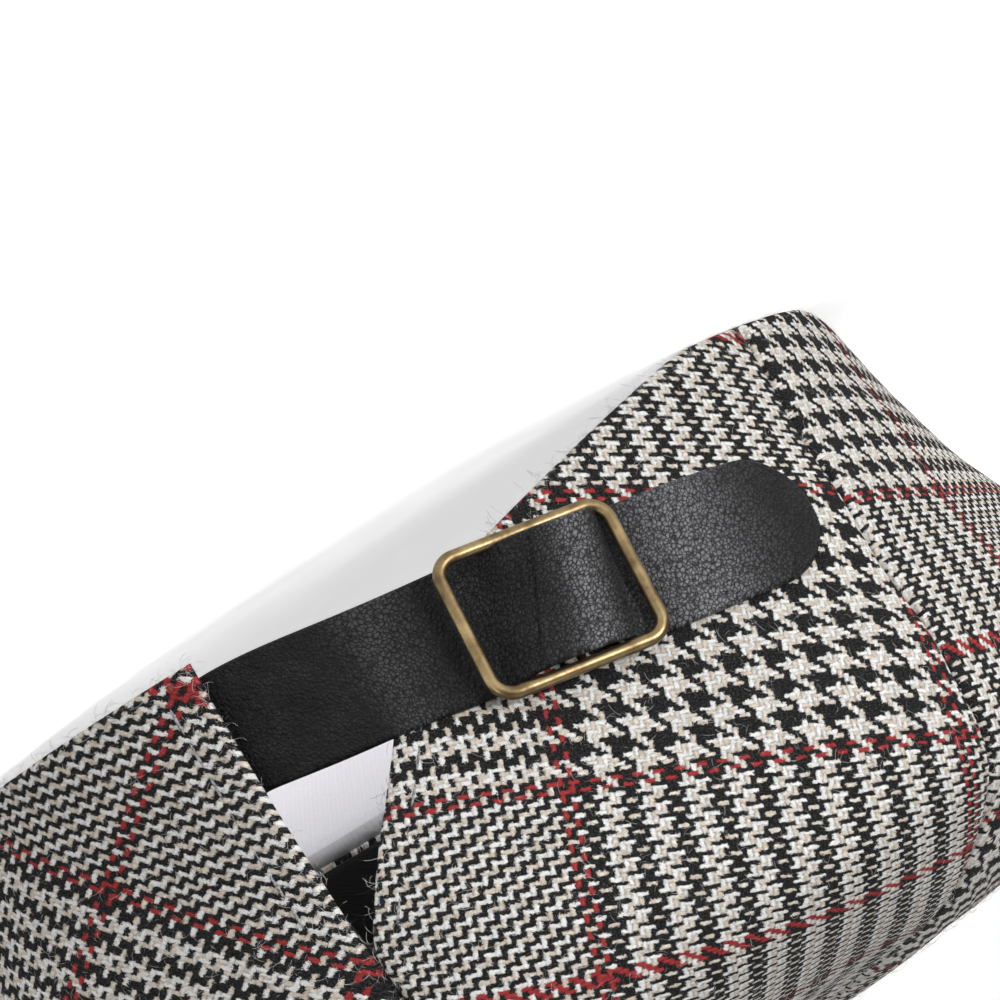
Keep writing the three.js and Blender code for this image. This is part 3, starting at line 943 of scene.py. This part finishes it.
def thread_places(grain, across, rise):
    """Thread numbers on a panel from millimetres across it and up it."""
    warp_pitch, weft_pitch = pitches()
    climb, lean = math.radians(grain.weft_climb), math.radians(grain.warp_lean)
    beside_warp = math.cos(lean) * across + math.sin(lean) * rise
    beside_weft = math.cos(climb) * rise - math.sin(climb) * across
    warp = beside_warp / (warp_pitch * grain.size) + grain.warp_start
    weft = beside_weft / (weft_pitch * grain.size) + grain.weft_start
    return np.stack([warp, weft, np.zeros_like(warp)], axis=-1)


def cloth_places(index, side, angle, level, rise):
    """Millimetres across a panel from its first seam and up it from the surface it rests on."""
    seams = seams_at(level[:, 0])[:, index : index + 2]
    shares = np.linspace(0, 1, PANEL_SAMPLES)
    turns = seams[:, :1] - CLOTH_SPARE + (seams[:, 1:] - seams[:, :1] + 2 * CLOTH_SPARE) * shares
    runs = lengths_along(smooth_wall(side * turns, level[:, :1]))
    rows = zip(side * angle, turns, runs, seams[:, 0])
    across = [np.interp(turn, *row) - np.interp(seam, *row) for turn, *row, seam in rows]
    return side * np.array(across), rise + rim_lift(angle) * lift_fade(ring("height", level))


Gore = namedtuple("Gore", "outer inner angle level distance width rise opening")


@lru_cache(maxsize=None)
def gore(index, side):
    """One panel: turned edge at the rim and the notch, rolled into the seams elsewhere."""
    angle, level, distance, width, rise, opening = panel_grid(index, side)
    open_edge = smoothstep(opening, 0, NOTCH_CLOSE)
    far = width - distance
    at_edge = np.maximum(rolled(rise, TURNED_RADIUS), rolled(distance, TURNED_RADIUS) * open_edge)
    turned = at_edge * TURNED_RADIUS
    at_seam = np.maximum(rolled(distance, SEAM_ROLL) * (1 - open_edge), rolled(far, SEAM_ROLL))
    pull = np.exp(-distance / SEAM_PULL_REACH) * (1 - open_edge) + np.exp(-far / SEAM_PULL_REACH)
    off_stitch = (distance - STITCH_INSET[side]) / STITCH_GROOVE
    groove = STITCH_SINK * open_edge * np.exp(-(off_stitch**2))
    sunk = np.maximum(turned, at_seam * SEAM_DROP) + pull * SEAM_PULL + groove
    outer = wall(angle, level, soft_wave(angle, level) - sunk)
    inner = wall(angle, level, turned - WOOL)
    return Gore(outer, inner, angle, level, distance, width, rise, opening)


def crown_panel(name, index, side, material):
    """One gore as a piece of cloth, with its size before it was sewn."""
    made = gore(index, side)
    grain = next(row for row in GRAINS if row.panel == name)
    places = cloth_places(index, side, made.angle, made.level, made.rise)
    piece = shell(name, made.outer, made.inner, material, thread_places(grain, *places))
    finish_piece(piece, "wool", name)


class CAP_OT_panels(bpy.types.Operator):
    """Cut and shape the eight wool gores of the crown"""

    bl_idname = "cap.panels"
    bl_label = "Crown panels"

    def execute(self, context):
        wool = wool_finish()
        for word, side in SIDES:
            for index, short in enumerate(PANEL_NAMES):
                crown_panel(f"panel_{short}_{word}", index, side, wool)
        return {"FINISHED"}


def stitch_growth():
    """Tree that lays one stitch at every step along a line."""
    tree = Growth("stitches", Pitch="Float", Length="Float", Thread="Float")
    given = tree.given
    line = tree.node("GeometryNodeMeshToCurve", Mesh=given["Geometry"])["Curve"]
    spots = tree.node("GeometryNodeCurveToPoints", {"mode": "LENGTH"}, Curve=line, Length=given["Pitch"])
    ball = tree.node("GeometryNodeMeshUVSphere", Segments=STITCH_SIDES, Rings=STITCH_RINGS, Radius=0.5)
    size = tree.node("ShaderNodeCombineXYZ", None, given["Length"], given["Thread"], given["Thread"])
    stitch = tree.node("GeometryNodeTransform", Geometry=ball["Mesh"], Scale=size["Vector"])
    lie = tree.node("FunctionNodeAlignRotationToVector", {"axis": "X"}, Vector=spots["Tangent"])
    laid = tree.node(
        "GeometryNodeInstanceOnPoints",
        Points=spots["Points"], Instance=stitch["Geometry"], Rotation=lie["Rotation"],
    )
    return tree.close(laid["Instances"])


def fibre_growth():
    """Tree that scatters bent fibres over a face, each with its own turn and length."""
    tree = Growth("fibres", Count="Float", Length="Float", Seed="Int")
    given = tree.given
    spots = tree.node(
        "GeometryNodeDistributePointsOnFaces",
        Mesh=given["Geometry"], Density=given["Count"], Seed=given["Seed"],
    )
    bent = tree.node("GeometryNodeCurveQuadraticBezier", Resolution=FIBRE_STEPS, **FIBRE_BEND)
    girth = tree.node("GeometryNodeCurvePrimitiveCircle", Resolution=FIBRE_SIDES, Radius=FIBRE_RADIUS)
    fibre = tree.node("GeometryNodeCurveToMesh", Curve=bent["Curve"], Profile_Curve=girth["Curve"])
    angle = tree.random(0.0, 2 * math.pi, given["Seed"])
    turn = tree.node("FunctionNodeAxisAngleToRotation", Axis=(0, 0, 1), Angle=angle)
    turned = tree.node(
        "FunctionNodeRotateRotation", {"rotation_space": "LOCAL"},
        Rotation=spots["Rotation"], Rotate_By=turn["Rotation"],
    )
    size = tree.random(FIBRE_SHORTEST, 1.0, given["Seed"]) * given["Length"]
    grown = tree.node(
        "GeometryNodeInstanceOnPoints",
        Points=spots["Points"], Instance=fibre["Mesh"], Rotation=turned["Rotation"], Scale=size,
    )
    return tree.close(grown["Instances"])


def stitch_line(side):
    """Points of the topstitch on one back panel, a little inside the edge of the notch."""
    made = gore(0, side)
    rows = np.flatnonzero((made.opening[:, 0] > STITCH_TOP) & (made.rise[:, 0] > STITCH_INSET[side]))
    angle = [np.interp(STITCH_INSET[side], made.distance[row], made.angle[row]) for row in rows]
    return wall(np.array(angle), made.level[rows, 0], STITCH_RISE - STITCH_SINK)


def ground(outer, side):
    """Points and outward faces of a grid of points, without those under the strap."""
    _, quads = grid_quads(*outer.shape[:2])
    faces = quads[:, ::-side]
    points = outer.reshape(-1, 3)
    place = np.linspace(STRAP_SHOWS, 1, COVER_SAMPLES)
    middle = strap_points(place, np.zeros_like(place), np.zeros_like(place))
    clear = np.linalg.norm(points[:, None] - middle, axis=-1).min(axis=1) > STRAP_CLEAR
    return points, faces[clear[faces].all(axis=1)]


def joined(grids):
    """Several grids of points and faces as one."""
    points, faces, start = [], [], 0
    for spots, quads in grids:
        points.append(spots)
        faces.append(quads + start)
        start += len(spots)
    return np.concatenate(points), [], np.concatenate(faces).tolist()


def thread_finish():
    """Grey sewing thread with a twist."""
    finish = Finish("sewing thread")
    twist = finish.noise(finish.place(), 2500.0)
    grey = cap_settings().sewing.thread_colour
    tone = finish.blend(twist.between(0.35, 0.65), THREAD_SHADE, grey)
    return finish.set(Base_Color=tone, Roughness=0.8, Normal=finish.bump(twist, THREAD_RELIEF))


def fibre_finish():
    """Loose fibres, pale and dark by turns."""
    sewing = cap_settings().sewing
    finish = Finish("wool fibre")
    choice = finish.noise(finish.place(), 420.0, 1.0).between(0.46, 0.56)
    tone = finish.blend(choice, sewing.dark_fibre, sewing.pale_fibre)
    return finish.set(Base_Color=tone, Roughness=0.9, Specular_IOR_Level=0.2)


class CAP_OT_stitches(bpy.types.Operator):
    """Sew the topstitches along the notch"""

    bl_idname = "cap.stitches"
    bl_label = "Stitches"

    def execute(self, context):
        sewing = cap_settings().sewing
        tree, thread = stitch_growth(), thread_finish()
        sizes = {"Pitch": sewing.stitch_pitch, "Length": sewing.stitch_length, "Thread": sewing.thread}
        for word, side in SIDES:
            line = stitch_line(side)
            edges = [(spot, spot + 1) for spot in range(len(line) - 1)]
            piece = tree.grow(f"topstitch_{word}", line, edges, [], Material=thread, **sizes)
            finish_piece(piece, "wool")
        return {"FINISHED"}


class CAP_OT_fibres(bpy.types.Operator):
    """Raise the loose wool fibres on the panels and along the notch and rim"""

    bl_idname = "cap.fibres"
    bl_label = "Fibres"

    def execute(self, context):
        sewing = cap_settings().sewing
        tree, wool = fibre_growth(), fibre_finish()
        short = {"Length": sewing.fibre_length, "Seed": FUZZ_SEED, "Material": wool}
        strays = []
        for word, side in SIDES:
            outer = gore(0, side).outer
            fuzz = joined([ground(outer, side)])
            piece = tree.grow(f"fuzz_back_{word}", *fuzz, Count=sewing.fibre_count, **short)
            finish_piece(piece, "wool")
            strays += [ground(outer[:, :STRAY_STEPS], side), ground(outer[:STRAY_STEPS], side)]
            others = [gore(index, side).outer for index in range(1, len(PANEL_NAMES))]
            fuzz = joined([ground(outer, side) for outer in others])
            count = sewing.fibre_count * SIDE_SHARE
            finish_piece(tree.grow(f"fuzz_side_{word}", *fuzz, Count=count, **short), "wool")
        piece = tree.grow(
            "stray_fibres", *joined(strays), Count=sewing.fibre_count * STRAY_CROWD,
            Length=sewing.fibre_length * STRAY_LENGTH, Seed=STRAY_SEED, Material=wool,
        )
        finish_piece(piece, "wool")
        return {"FINISHED"}


def wall_at(angle, rise, proud):
    """Points by their rise from the rim; past the rim the wall goes on straight."""
    angle, rise, proud = np.broadcast_arrays(angle, rise, proud)
    above = wall(angle, level_at(angle, np.maximum(rise, 0)), proud, square_rim=False)
    rim, near = np.zeros_like(angle), np.full_like(angle, ABOVE_RIM)
    foot = smooth_wall(angle, rim)
    up = unit(smooth_wall(angle, near) - foot)
    below = foot + up * rise[..., None] + outward(angle, near) * proud[..., None]
    return np.where((rise > 0)[..., None], above, below)


def strap_points(place, offset, lift):
    """Points of the strap: place 0..1 along it, offset across it, lift off its middle."""
    lines = {name: column(STRAP, name) for name in ("angle", "rise", "proud")}
    angle, rise, proud = (along(line, place) for line in lines.values())
    step = 0.01
    turned, climb = (
        along(lines[name], place + step) - along(lines[name], place - step) for name in ("angle", "rise")
    )
    scale = millimetres_per_degree(angle, level_at(angle, np.maximum(rise, 0)))
    run = turned * scale
    length = np.hypot(run, climb)
    turn = angle - climb / length * offset / scale
    return wall_at(turn, rise + run / length * offset, proud + lift)


def settled(points, share):
    """Rows of points drawn straight along their lines where the strap spans the notch."""
    for _ in range(SETTLE_STEPS):
        middle = (points[:-2] + points[2:]) / 2
        points[1:-1] += (middle - points[1:-1]) * share[1:-1, None, None]
    return points


def strap_columns():
    """Shares of the half width across the strap, close together at its cut edges."""
    inside = np.linspace(STRAP_EDGE[-1], STRAP_HALF, STRAP_COLUMNS // 2)[1:]
    inset = np.concatenate([STRAP_EDGE, inside])
    return np.concatenate([inset - STRAP_HALF, (STRAP_HALF - inset)[-2::-1]]) / STRAP_HALF


def bell(distance, reach):
    return np.exp(-((distance / reach) ** 2))


def strap_piece(material):
    """The strap, with cut edges, a round tip and a crease beside the buckle's middle bar."""
    fine = np.linspace(0, 1, STRAP_SAMPLES)
    run = lengths_along(strap_points(fine, np.zeros_like(fine), np.zeros_like(fine)))
    end = run[-1]

    def station(number):
        return np.interp(number / (len(STRAP) - 1), fine, run)

    tip = end - TIP_LENGTH * (1 - np.sin(np.linspace(0, math.pi / 2, TIP_STEPS)))
    distance = np.concatenate([np.arange(0, end - TIP_LENGTH, STRAP_STEP), tip])
    place = np.interp(distance, run, fine)
    to_tip = np.clip(1 - (end - distance) / TIP_LENGTH, 0, 1)
    half = along(column(STRAP, "half"), place) * np.sqrt(np.maximum(1 - to_tip**2, TIP_BLUNT))
    offset = half[:, None] * strap_columns()
    edge = np.minimum(half[:, None] - np.abs(offset), (end - distance)[:, None])
    drop = STRAP_EDGE_RADIUS * rolled(edge, STRAP_EDGE_RADIUS)
    bent = distance[:, None] + CREASE_LEAN * offset - (station(BAR_STATION) + CREASE_SHIFT)
    shoulder = bell(bent, CREASE_WIDTH * CREASE_SHOULDER)
    crease = CREASE_DEPTH * (shoulder - CREASE_CUT * bell(bent, CREASE_WIDTH))
    places = np.broadcast_to(place[:, None], offset.shape)
    outer = strap_points(places, offset, LEATHER / 2 - drop + crease)
    inner = strap_points(places, offset, drop - LEATHER / 2)
    # Painted sheen: share of a painted highlight, with more gloss, along the strap from the bands; it
    # goes in the third place of the threads
    painted_sheen = sum(sheen_band.strength * bell(distance - station(sheen_band.station), sheen_band.reach) for sheen_band in SHEEN_BANDS)
    lay = np.stack(np.broadcast_arrays(distance[:, None], offset, painted_sheen[:, None]), axis=-1)
    free = smoothstep(place, *FREE_START) * (1 - smoothstep(place, *FREE_END))
    return shell("strap", settled(outer, free), settled(inner, free), material, lay)


def buckle_seat(proud):
    """Middle of the buckle and its axes: along the strap, across it and off the wool."""
    station = STRAP[BAR_STATION]
    angle, rise = np.array([station.angle], float), np.array([station.rise], float)
    normal = outward(angle, level_at(angle, rise))[0]
    place = BAR_STATION / (len(STRAP) - 1) + np.array([-SEAT_REACH, SEAT_REACH])
    ends = strap_points(place, np.zeros(2), np.zeros(2))
    forward = ends[1] - ends[0]
    forward = unit(forward - normal * forward.dot(normal))
    axes = np.stack([forward, np.cross(normal, forward), normal])
    return wall_at(angle, rise, np.array([proud]))[0], axes


def buckle_path():
    """Middle line of the frame's wire and the ways out from it, corner by corner."""
    half = np.array([BUCKLE_LENGTH - BUCKLE_WIRE, BUCKLE_WIDTH - BUCKLE_WIRE]) / 2 - BUCKLE_CORNER
    centres = [np.array([*(half * signs), 0]) for signs in CORNERS]
    bend = np.linspace(0, 1, CORNER_STEPS)
    straight = np.linspace(0, 1, STRAIGHT_STEPS)[1:-1]
    share = np.concatenate([np.zeros_like(bend), straight])[:, None]
    path, away = [], []
    for corner, centre in enumerate(centres):
        after = centres[(corner + 1) % len(centres)]
        turn = np.radians(90 * (corner + np.concatenate([bend, np.ones_like(straight)])))
        out = np.stack([np.cos(turn), np.sin(turn), np.zeros_like(turn)], axis=-1)
        path.append((1 - share) * centre + share * after + out * BUCKLE_CORNER)
        away.append(out)
    return np.concatenate(path), np.concatenate(away)


def wire_turn():
    """Angles round a wire."""
    return np.linspace(0, 2 * math.pi, WIRE_SIDES, endpoint=False)


def frame_wire():
    """Points and quads of the frame's bent wire, in the buckle's own frame."""
    path, away = buckle_path()
    cos, sin = (BUCKLE_WIRE / 2 * wave(wire_turn())[None, :, None] for wave in (np.cos, np.sin))
    points = path[:, None, :] + away[:, None, :] * cos + np.array([0, 0, 1.0]) * sin
    index = np.arange(len(path) * WIRE_SIDES).reshape(len(path), WIRE_SIDES)
    ahead, beside = np.roll(index, -1, axis=0), np.roll(index, -1, axis=1)
    faces = np.stack([index, ahead, np.roll(ahead, -1, axis=1), beside], axis=-1)
    return points.reshape(-1, 3), faces.reshape(-1, 4).tolist()


def middle_bar(first):
    """Points and faces of the bar across the frame, with its points numbered from first on."""
    turn = wire_turn()
    circle = np.stack([np.cos(turn), np.zeros(WIRE_SIDES), np.sin(turn)], axis=-1) * BAR_WIRE / 2
    reach = (BUCKLE_WIDTH - BUCKLE_WIRE) / 2
    near = np.arange(WIRE_SIDES) + first
    far, after = near + WIRE_SIDES, np.roll(near, -1)
    sides = np.stack([far, after + WIRE_SIDES, after, near], axis=-1)
    points = np.concatenate([circle - [0, reach, 0], circle + [0, reach, 0]])
    return points, [*sides.tolist(), near[::-1].tolist(), far.tolist()]


def buckle_piece(material):
    """The slider frame of bent wire with its middle bar."""
    wire, wire_faces = frame_wire()
    bar, bar_faces = middle_bar(len(wire))
    origin, axes = buckle_seat(BUCKLE_PROUD)
    points = origin + np.concatenate([wire, bar]) @ axes
    return new_piece("buckle", to_frame(points), wire_faces + bar_faces, material)


def tab_piece(material):
    """Plain pad under the buckle's middle bar."""
    build = bmesh.new()
    bmesh.ops.create_cube(build, size=1)
    bmesh.ops.scale(build, vec=(TAB_LENGTH, TAB_WIDTH, TAB_HEIGHT), verts=build.verts)
    bevel = {"offset": TAB_BEVEL, "segments": TAB_BEVEL_STEPS, "profile": 0.5, "affect": "EDGES"}
    bmesh.ops.bevel(build, geom=build.edges, **bevel)
    build.verts.index_update()
    local = np.array([tuple(vert.co) for vert in build.verts])
    faces = [[vert.index for vert in face.verts] for face in build.faces]
    build.free()
    origin, axes = buckle_seat(TAB_PROUD + TAB_HEIGHT / 2)
    return new_piece("buckle_tab", to_frame(origin + local @ axes), faces, material, local)


def strap_room(angle, level):
    around = smoothstep(angle, ROOM_START, ROOM_FULL) * (1 - smoothstep(angle, 0, ROOM_END))
    return (LEATHER + GAP) * around * (1 - smoothstep(level, ROOM_LOW, ROOM_HIGH))


def lining_piece(material):
    """The lining, once round from one edge of the notch to the other."""
    level = np.maximum(np.linspace(0, 1, LINING_ROWS), LINING_START)
    left, right, _ = notch_edges(level, LINING_SET_BACK)
    share = np.linspace(0, 1, LINING_COLUMNS)
    angle = right[:, None] + (360 + left - right)[:, None] * share
    angle = np.where(angle > 180, angle - 360, angle)
    levels = np.broadcast_to(level[:, None], angle.shape)
    depth = WOOL + LINING_GAP + strap_room(angle, levels)
    outer = wall(angle, levels, -depth)
    inner = wall(angle, levels, -depth - LINING)
    lay = np.stack([angle * RIM_PER_DEGREE, levels * LINING_RISE, np.zeros_like(angle)], axis=-1)
    piece = finish_piece(shell("lining", outer, inner, material, lay), "lining", "lining")


def peak_points(share, out, lift):
    """Points of the peak: share 0..1 across it, out 0..1 from the rim to its front edge."""
    turn = PEAK_HALF_ANGLE * (2 * share - 1)
    angle = np.where(turn >= 0, 180 - turn, -180 - turn)
    taper = (1 - (turn / PEAK_HALF_ANGLE) ** 2) ** PEAK_TAPER
    reach = PEAK_END_REACH + (PEAK_REACH - PEAK_END_REACH) * taper
    foot = wall(angle, np.zeros_like(angle), np.full_like(angle, -WOOL / 2))
    flat = unit(outward(angle, np.zeros_like(angle)) * [1, 1, 0])
    away = unit(flat * (1 - PEAK_FORWARD) + np.array([0, -1, 0]) * PEAK_FORWARD)
    drop = RIM_LIFT - GAP - PEAK_THICKNESS
    slope = drop * np.minimum(reach / PEAK_REACH / PEAK_REST, 1)
    points = foot + away * (reach * out)[..., None]
    tucked = PEAK_TUCK * np.exp(-reach * out / PEAK_TUCK)
    points[..., 2] = rim_lift(angle) - GAP - slope * out + lift + tucked
    return points, reach


def peak_piece(material):
    """The stiff peak, covered in the same cloth and rounded along its edge."""
    rows = np.sin(np.linspace(0, math.pi / 2, PEAK_ROWS)) ** PEAK_SPREAD
    share, out = np.meshgrid(np.linspace(0, 1, PEAK_COLUMNS), np.insert(rows, 1, PEAK_FOOT))
    _, reach = peak_points(share, out, 0)
    to_end = (1 - np.abs(2 * share - 1)) * PEAK_HALF_ANGLE * RIM_PER_DEGREE
    radius = PEAK_THICKNESS / 2
    edge = np.minimum(reach * (1 - out), to_end)
    drop = radius * rolled(edge, radius)
    outer, _ = peak_points(share, out, -drop)
    inner, _ = peak_points(share, out, drop - PEAK_THICKNESS)
    places = [outer[..., axis] / pitch for axis, pitch in enumerate(pitches())]
    cover = np.stack([*places, (out == 0) * 1.0], axis=-1)
    under = np.stack([*places, (edge > PEAK_TURN) * 1.0], axis=-1)
    return shell("peak", outer, inner, material, cover, under)


def button_piece(material):
    """Cloth-covered button over the eye of the crown."""
    turn = np.linspace(0, math.pi / 2, BUTTON_STEPS)
    dome = BUTTON_RADIUS * np.maximum(np.cos(turn), 0) ** BUTTON_ROUNDNESS
    climb = BUTTON_FOOT_HEIGHT + (BUTTON_HEIGHT - BUTTON_FOOT_HEIGHT) * np.sin(turn)
    radius = np.concatenate([[0, BUTTON_FOOT_RADIUS], dome])[:, None]
    height = np.concatenate([[0, 0], climb])[:, None] + RINGS[-1].height + GAP
    around = np.linspace(0, 2 * math.pi, BUTTON_SIDES, endpoint=False)
    rows = np.broadcast_arrays(radius * np.cos(around), radius * np.sin(around), height)
    points = np.stack(rows, axis=-1).reshape(-1, 3)
    index = np.arange(len(points)).reshape(-1, BUTTON_SIDES)
    after = np.roll(index, -1, axis=1)
    faces = np.stack([index[:-1], after[:-1], after[1:], index[1:]], axis=-1).reshape(-1, 4)
    threads = points / [*pitches(), 1] * [1, 1, 0]
    return new_piece("crown_button", to_frame(points), faces.tolist(), material, threads)


def leather_finish():
    """Black grained leather: highlights painted on the pebble tops in the bands of painted sheen, which
    are also glossier, and fine creases.
    """
    trim = cap_settings().trim
    finish = Finish("black leather")
    threads = finish.threads()
    painted_sheen = threads.parts()[2]
    lay = finish.vector("MULTIPLY", threads, (1, 1, 0))
    stray = finish.noise(lay, 0.9, 3.0, output="Color")
    bent = finish.vector("MULTIPLY_ADD", stray, (0.9, 0.9, 0), lay)
    large, small = (
        1 - (finish.cells(bent, scale) * PEBBLE_FALL) ** 2 for scale in (PEBBLES, SMALL_PEBBLES)
    )
    pebble = large * 0.7 + small * 0.3
    grain = finish.noise(lay, FACE_MARKS, 4.0, 0.65)
    # Painted sheen from the strap's bands, with a faint random mottle of the leather's own tone
    mottle_and_sheen = finish.noise(lay, 0.16, 3.0).between(0.4, 0.62) * 0.06 + painted_sheen * 0.94
    open_face = finish.cells(bent, PEBBLES, "DISTANCE_TO_EDGE").between(0.0, 0.16)
    # Painted highlight on the pebbles: lighter on their tops and left dark in the creases between them,
    # shown in full only where sheen is painted
    face = open_face * (0.5 + pebble.between(0.3, 0.9) * 0.5)
    tone = finish.blend(face * (0.02 + mottle_and_sheen * 0.98), trim.leather_deep, trim.leather)
    return finish.set(
        Base_Color=tone,
        Roughness=0.54 - open_face * 0.14 - mottle_and_sheen * 0.16,
        Specular_IOR_Level=0.16,
        Normal=finish.bump(pebble + open_face * 0.3 + grain * 0.3, LEATHER_RELIEF),
    )


def brass_finish():
    """Antique brass wire, rubbed bright with dull spots."""
    trim = cap_settings().trim
    finish = Finish("antique brass")
    place = finish.place()
    cloud = finish.noise(place, 260.0, 4.0, 0.6).between(0.35, 0.7)
    speck = finish.noise(place, 1800.0, 2.0, 0.6)
    return finish.set(
        Base_Color=finish.blend(cloud, trim.brass_dull, trim.brass),
        Metallic=1.0,
        Roughness=0.42 - cloud * 0.14 + speck * 0.08,
        Normal=finish.bump(speck, BRASS_RELIEF, 0.5),
    )


def lining_finish():
    """Black lining in plain weave."""
    finish = Finish("black lining")
    around, up, _ = finish.threads().parts()
    over = (around * LINING_WEAVE).wave() * (up * LINING_WEAVE).wave()
    cloud = finish.noise(finish.place(), 60.0, 3.0)
    tone = finish.blend(cloud.between(0.3, 0.7), LINING_SHADE, cap_settings().trim.lining)
    return finish.set(Base_Color=tone, Roughness=0.75, Normal=finish.bump(over, LINING_RELIEF))


class CAP_OT_lining(bpy.types.Operator):
    """Line the crown in black"""

    bl_idname = "cap.lining"
    bl_label = "Lining"

    def execute(self, context):
        lining_piece(lining_finish())
        return {"FINISHED"}


class CAP_OT_peak(bpy.types.Operator):
    """Make the stiff peak at the front"""

    bl_idname = "cap.peak"
    bl_label = "Peak"

    def execute(self, context):
        finish_piece(peak_piece(bpy.data.materials["checked wool"]), "wool", "peak")
        return {"FINISHED"}


class CAP_OT_button(bpy.types.Operator):
    """Cover the button on top of the crown"""

    bl_idname = "cap.button"
    bl_label = "Crown button"

    def execute(self, context):
        finish_piece(button_piece(bpy.data.materials["checked wool"]), "wool", "crown_button")
        return {"FINISHED"}


class CAP_OT_strap(bpy.types.Operator):
    """Cut the leather strap and the pad under the buckle"""

    bl_idname = "cap.strap"
    bl_label = "Strap"

    def execute(self, context):
        leather = leather_finish()
        finish_piece(strap_piece(leather), "leather", "strap")
        finish_piece(tab_piece(leather), "leather", "buckle_tab")
        return {"FINISHED"}


class CAP_OT_buckle(bpy.types.Operator):
    """Bend the brass wire of the slider buckle"""

    bl_idname = "cap.buckle"
    bl_label = "Buckle"

    def execute(self, context):
        finish_piece(buckle_piece(brass_finish()), "brass", "buckle")
        return {"FINISHED"}


def make_floor():
    finish = Finish("pale floor")
    grain = finish.noise(finish.place(), 140.0, 3.0)
    tone = finish.blend(grain.between(0.3, 0.7), cap_settings().floor_colour, FLOOR_SHADE)
    material = finish.set(
        Base_Color=tone, Roughness=0.8, Emission_Color=tone, Emission_Strength=FLOOR_GLOW
    )
    bpy.ops.mesh.primitive_circle_add(
        vertices=FLOOR_SIDES, radius=FLOOR_RADIUS, fill_type="NGON", location=(0, 0, -FLOOR_DROP)
    )
    floor = bpy.context.object
    floor.name = "floor"
    floor.data.materials.append(material)


def make_lights(scene):
    for lamp in LAMPS:
        data = bpy.data.lights.new(lamp.name, "AREA")
        data.shape = "DISK"
        data.size = lamp.size
        data.energy = lamp.power
        light = linked(lamp.name, data)
        light.location = lamp.place
        light.rotation_euler = (Vector(LAMP_AIM) - light.location).to_track_quat("-Z", "Y").to_euler()
    world = bpy.data.worlds.new("studio")
    world.use_nodes = True
    web = Web(world.node_tree)
    seen = web.node("ShaderNodeLightPath")["Is Camera Ray"]
    strength = web.node("ShaderNodeMapRange", Value=seen, To_Min=SKY_LIGHT)["Result"]
    sky = world.node_tree.nodes["Background"]
    web.plug(sky.inputs["Color"], (1, 1, 1, 1))
    web.plug(sky.inputs["Strength"], strength)
    scene.world = world
    scene.view_settings.view_transform = "Standard"


def make_camera(scene):
    turn, climb, roll = (math.radians(value) for value in (VIEW_TURN, VIEW_CLIMB, VIEW_ROLL))
    away = Vector((math.sin(turn) * math.cos(climb), math.cos(turn) * math.cos(climb), math.sin(climb)))
    right = Vector((-math.cos(turn), math.sin(turn), 0))
    up = away.cross(right)
    look = Vector(VIEW_CENTRE) + right * VIEW_SLIDE[0] + up * VIEW_SLIDE[1]
    across = right * math.cos(roll) - up * math.sin(roll)
    above = right * math.sin(roll) + up * math.cos(roll)
    data = bpy.data.cameras.new("camera")
    data.sensor_fit = "HORIZONTAL"
    data.angle = 2 * math.atan(VIEW_WIDTH / 2 / VIEW_DISTANCE)
    data.clip_start = VIEW_NEAR * MM
    camera = linked("camera", data)
    place = Matrix((across, above, away)).transposed().to_4x4()
    place.translation = Vector(to_frame(np.array(look + away * VIEW_DISTANCE)))
    camera.matrix_world = place
    scene.camera = camera


class CAP_OT_stage(bpy.types.Operator):
    """Lay the pale floor and set the lights and the camera"""

    bl_idname = "cap.stage"
    bl_label = "Stage"

    def execute(self, context):
        make_floor()
        make_lights(context.scene)
        make_camera(context.scene)
        return {"FINISHED"}


class CAP_PT_sidebar(bpy.types.Panel):
    """Makes the cap piece by piece"""

    bl_idname = "CAP_PT_sidebar"
    bl_label = "Flat Cap"
    bl_space_type = "VIEW_3D"
    bl_region_type = "UI"
    bl_category = "Cap"

    def draw(self, context):
        for operator in OPERATORS:
            self.layout.operator(operator.bl_idname)


OPERATORS = (
    CAP_OT_panels,
    CAP_OT_stitches,
    CAP_OT_fibres,
    CAP_OT_lining,
    CAP_OT_peak,
    CAP_OT_button,
    CAP_OT_strap,
    CAP_OT_buckle,
    CAP_OT_stage,
)
CLASSES = (CapCloth, CapTrim, CapSewing, CapSettings, *OPERATORS, CAP_PT_sidebar)


def register():
    for item in CLASSES:
        bpy.utils.register_class(item)
    bpy.types.Scene.flat_cap = PointerProperty(type=CapSettings)


def unregister():
    del bpy.types.Scene.flat_cap
    for item in reversed(CLASSES):
        bpy.utils.unregister_class(item)


def main():
    register()
    bpy.ops.cap.panels()
    bpy.ops.cap.stitches()
    bpy.ops.cap.fibres()
    bpy.ops.cap.lining()
    bpy.ops.cap.peak()
    bpy.ops.cap.button()
    bpy.ops.cap.strap()
    bpy.ops.cap.buckle()
    bpy.ops.cap.stage()


if __name__ == "__main__":
    main()
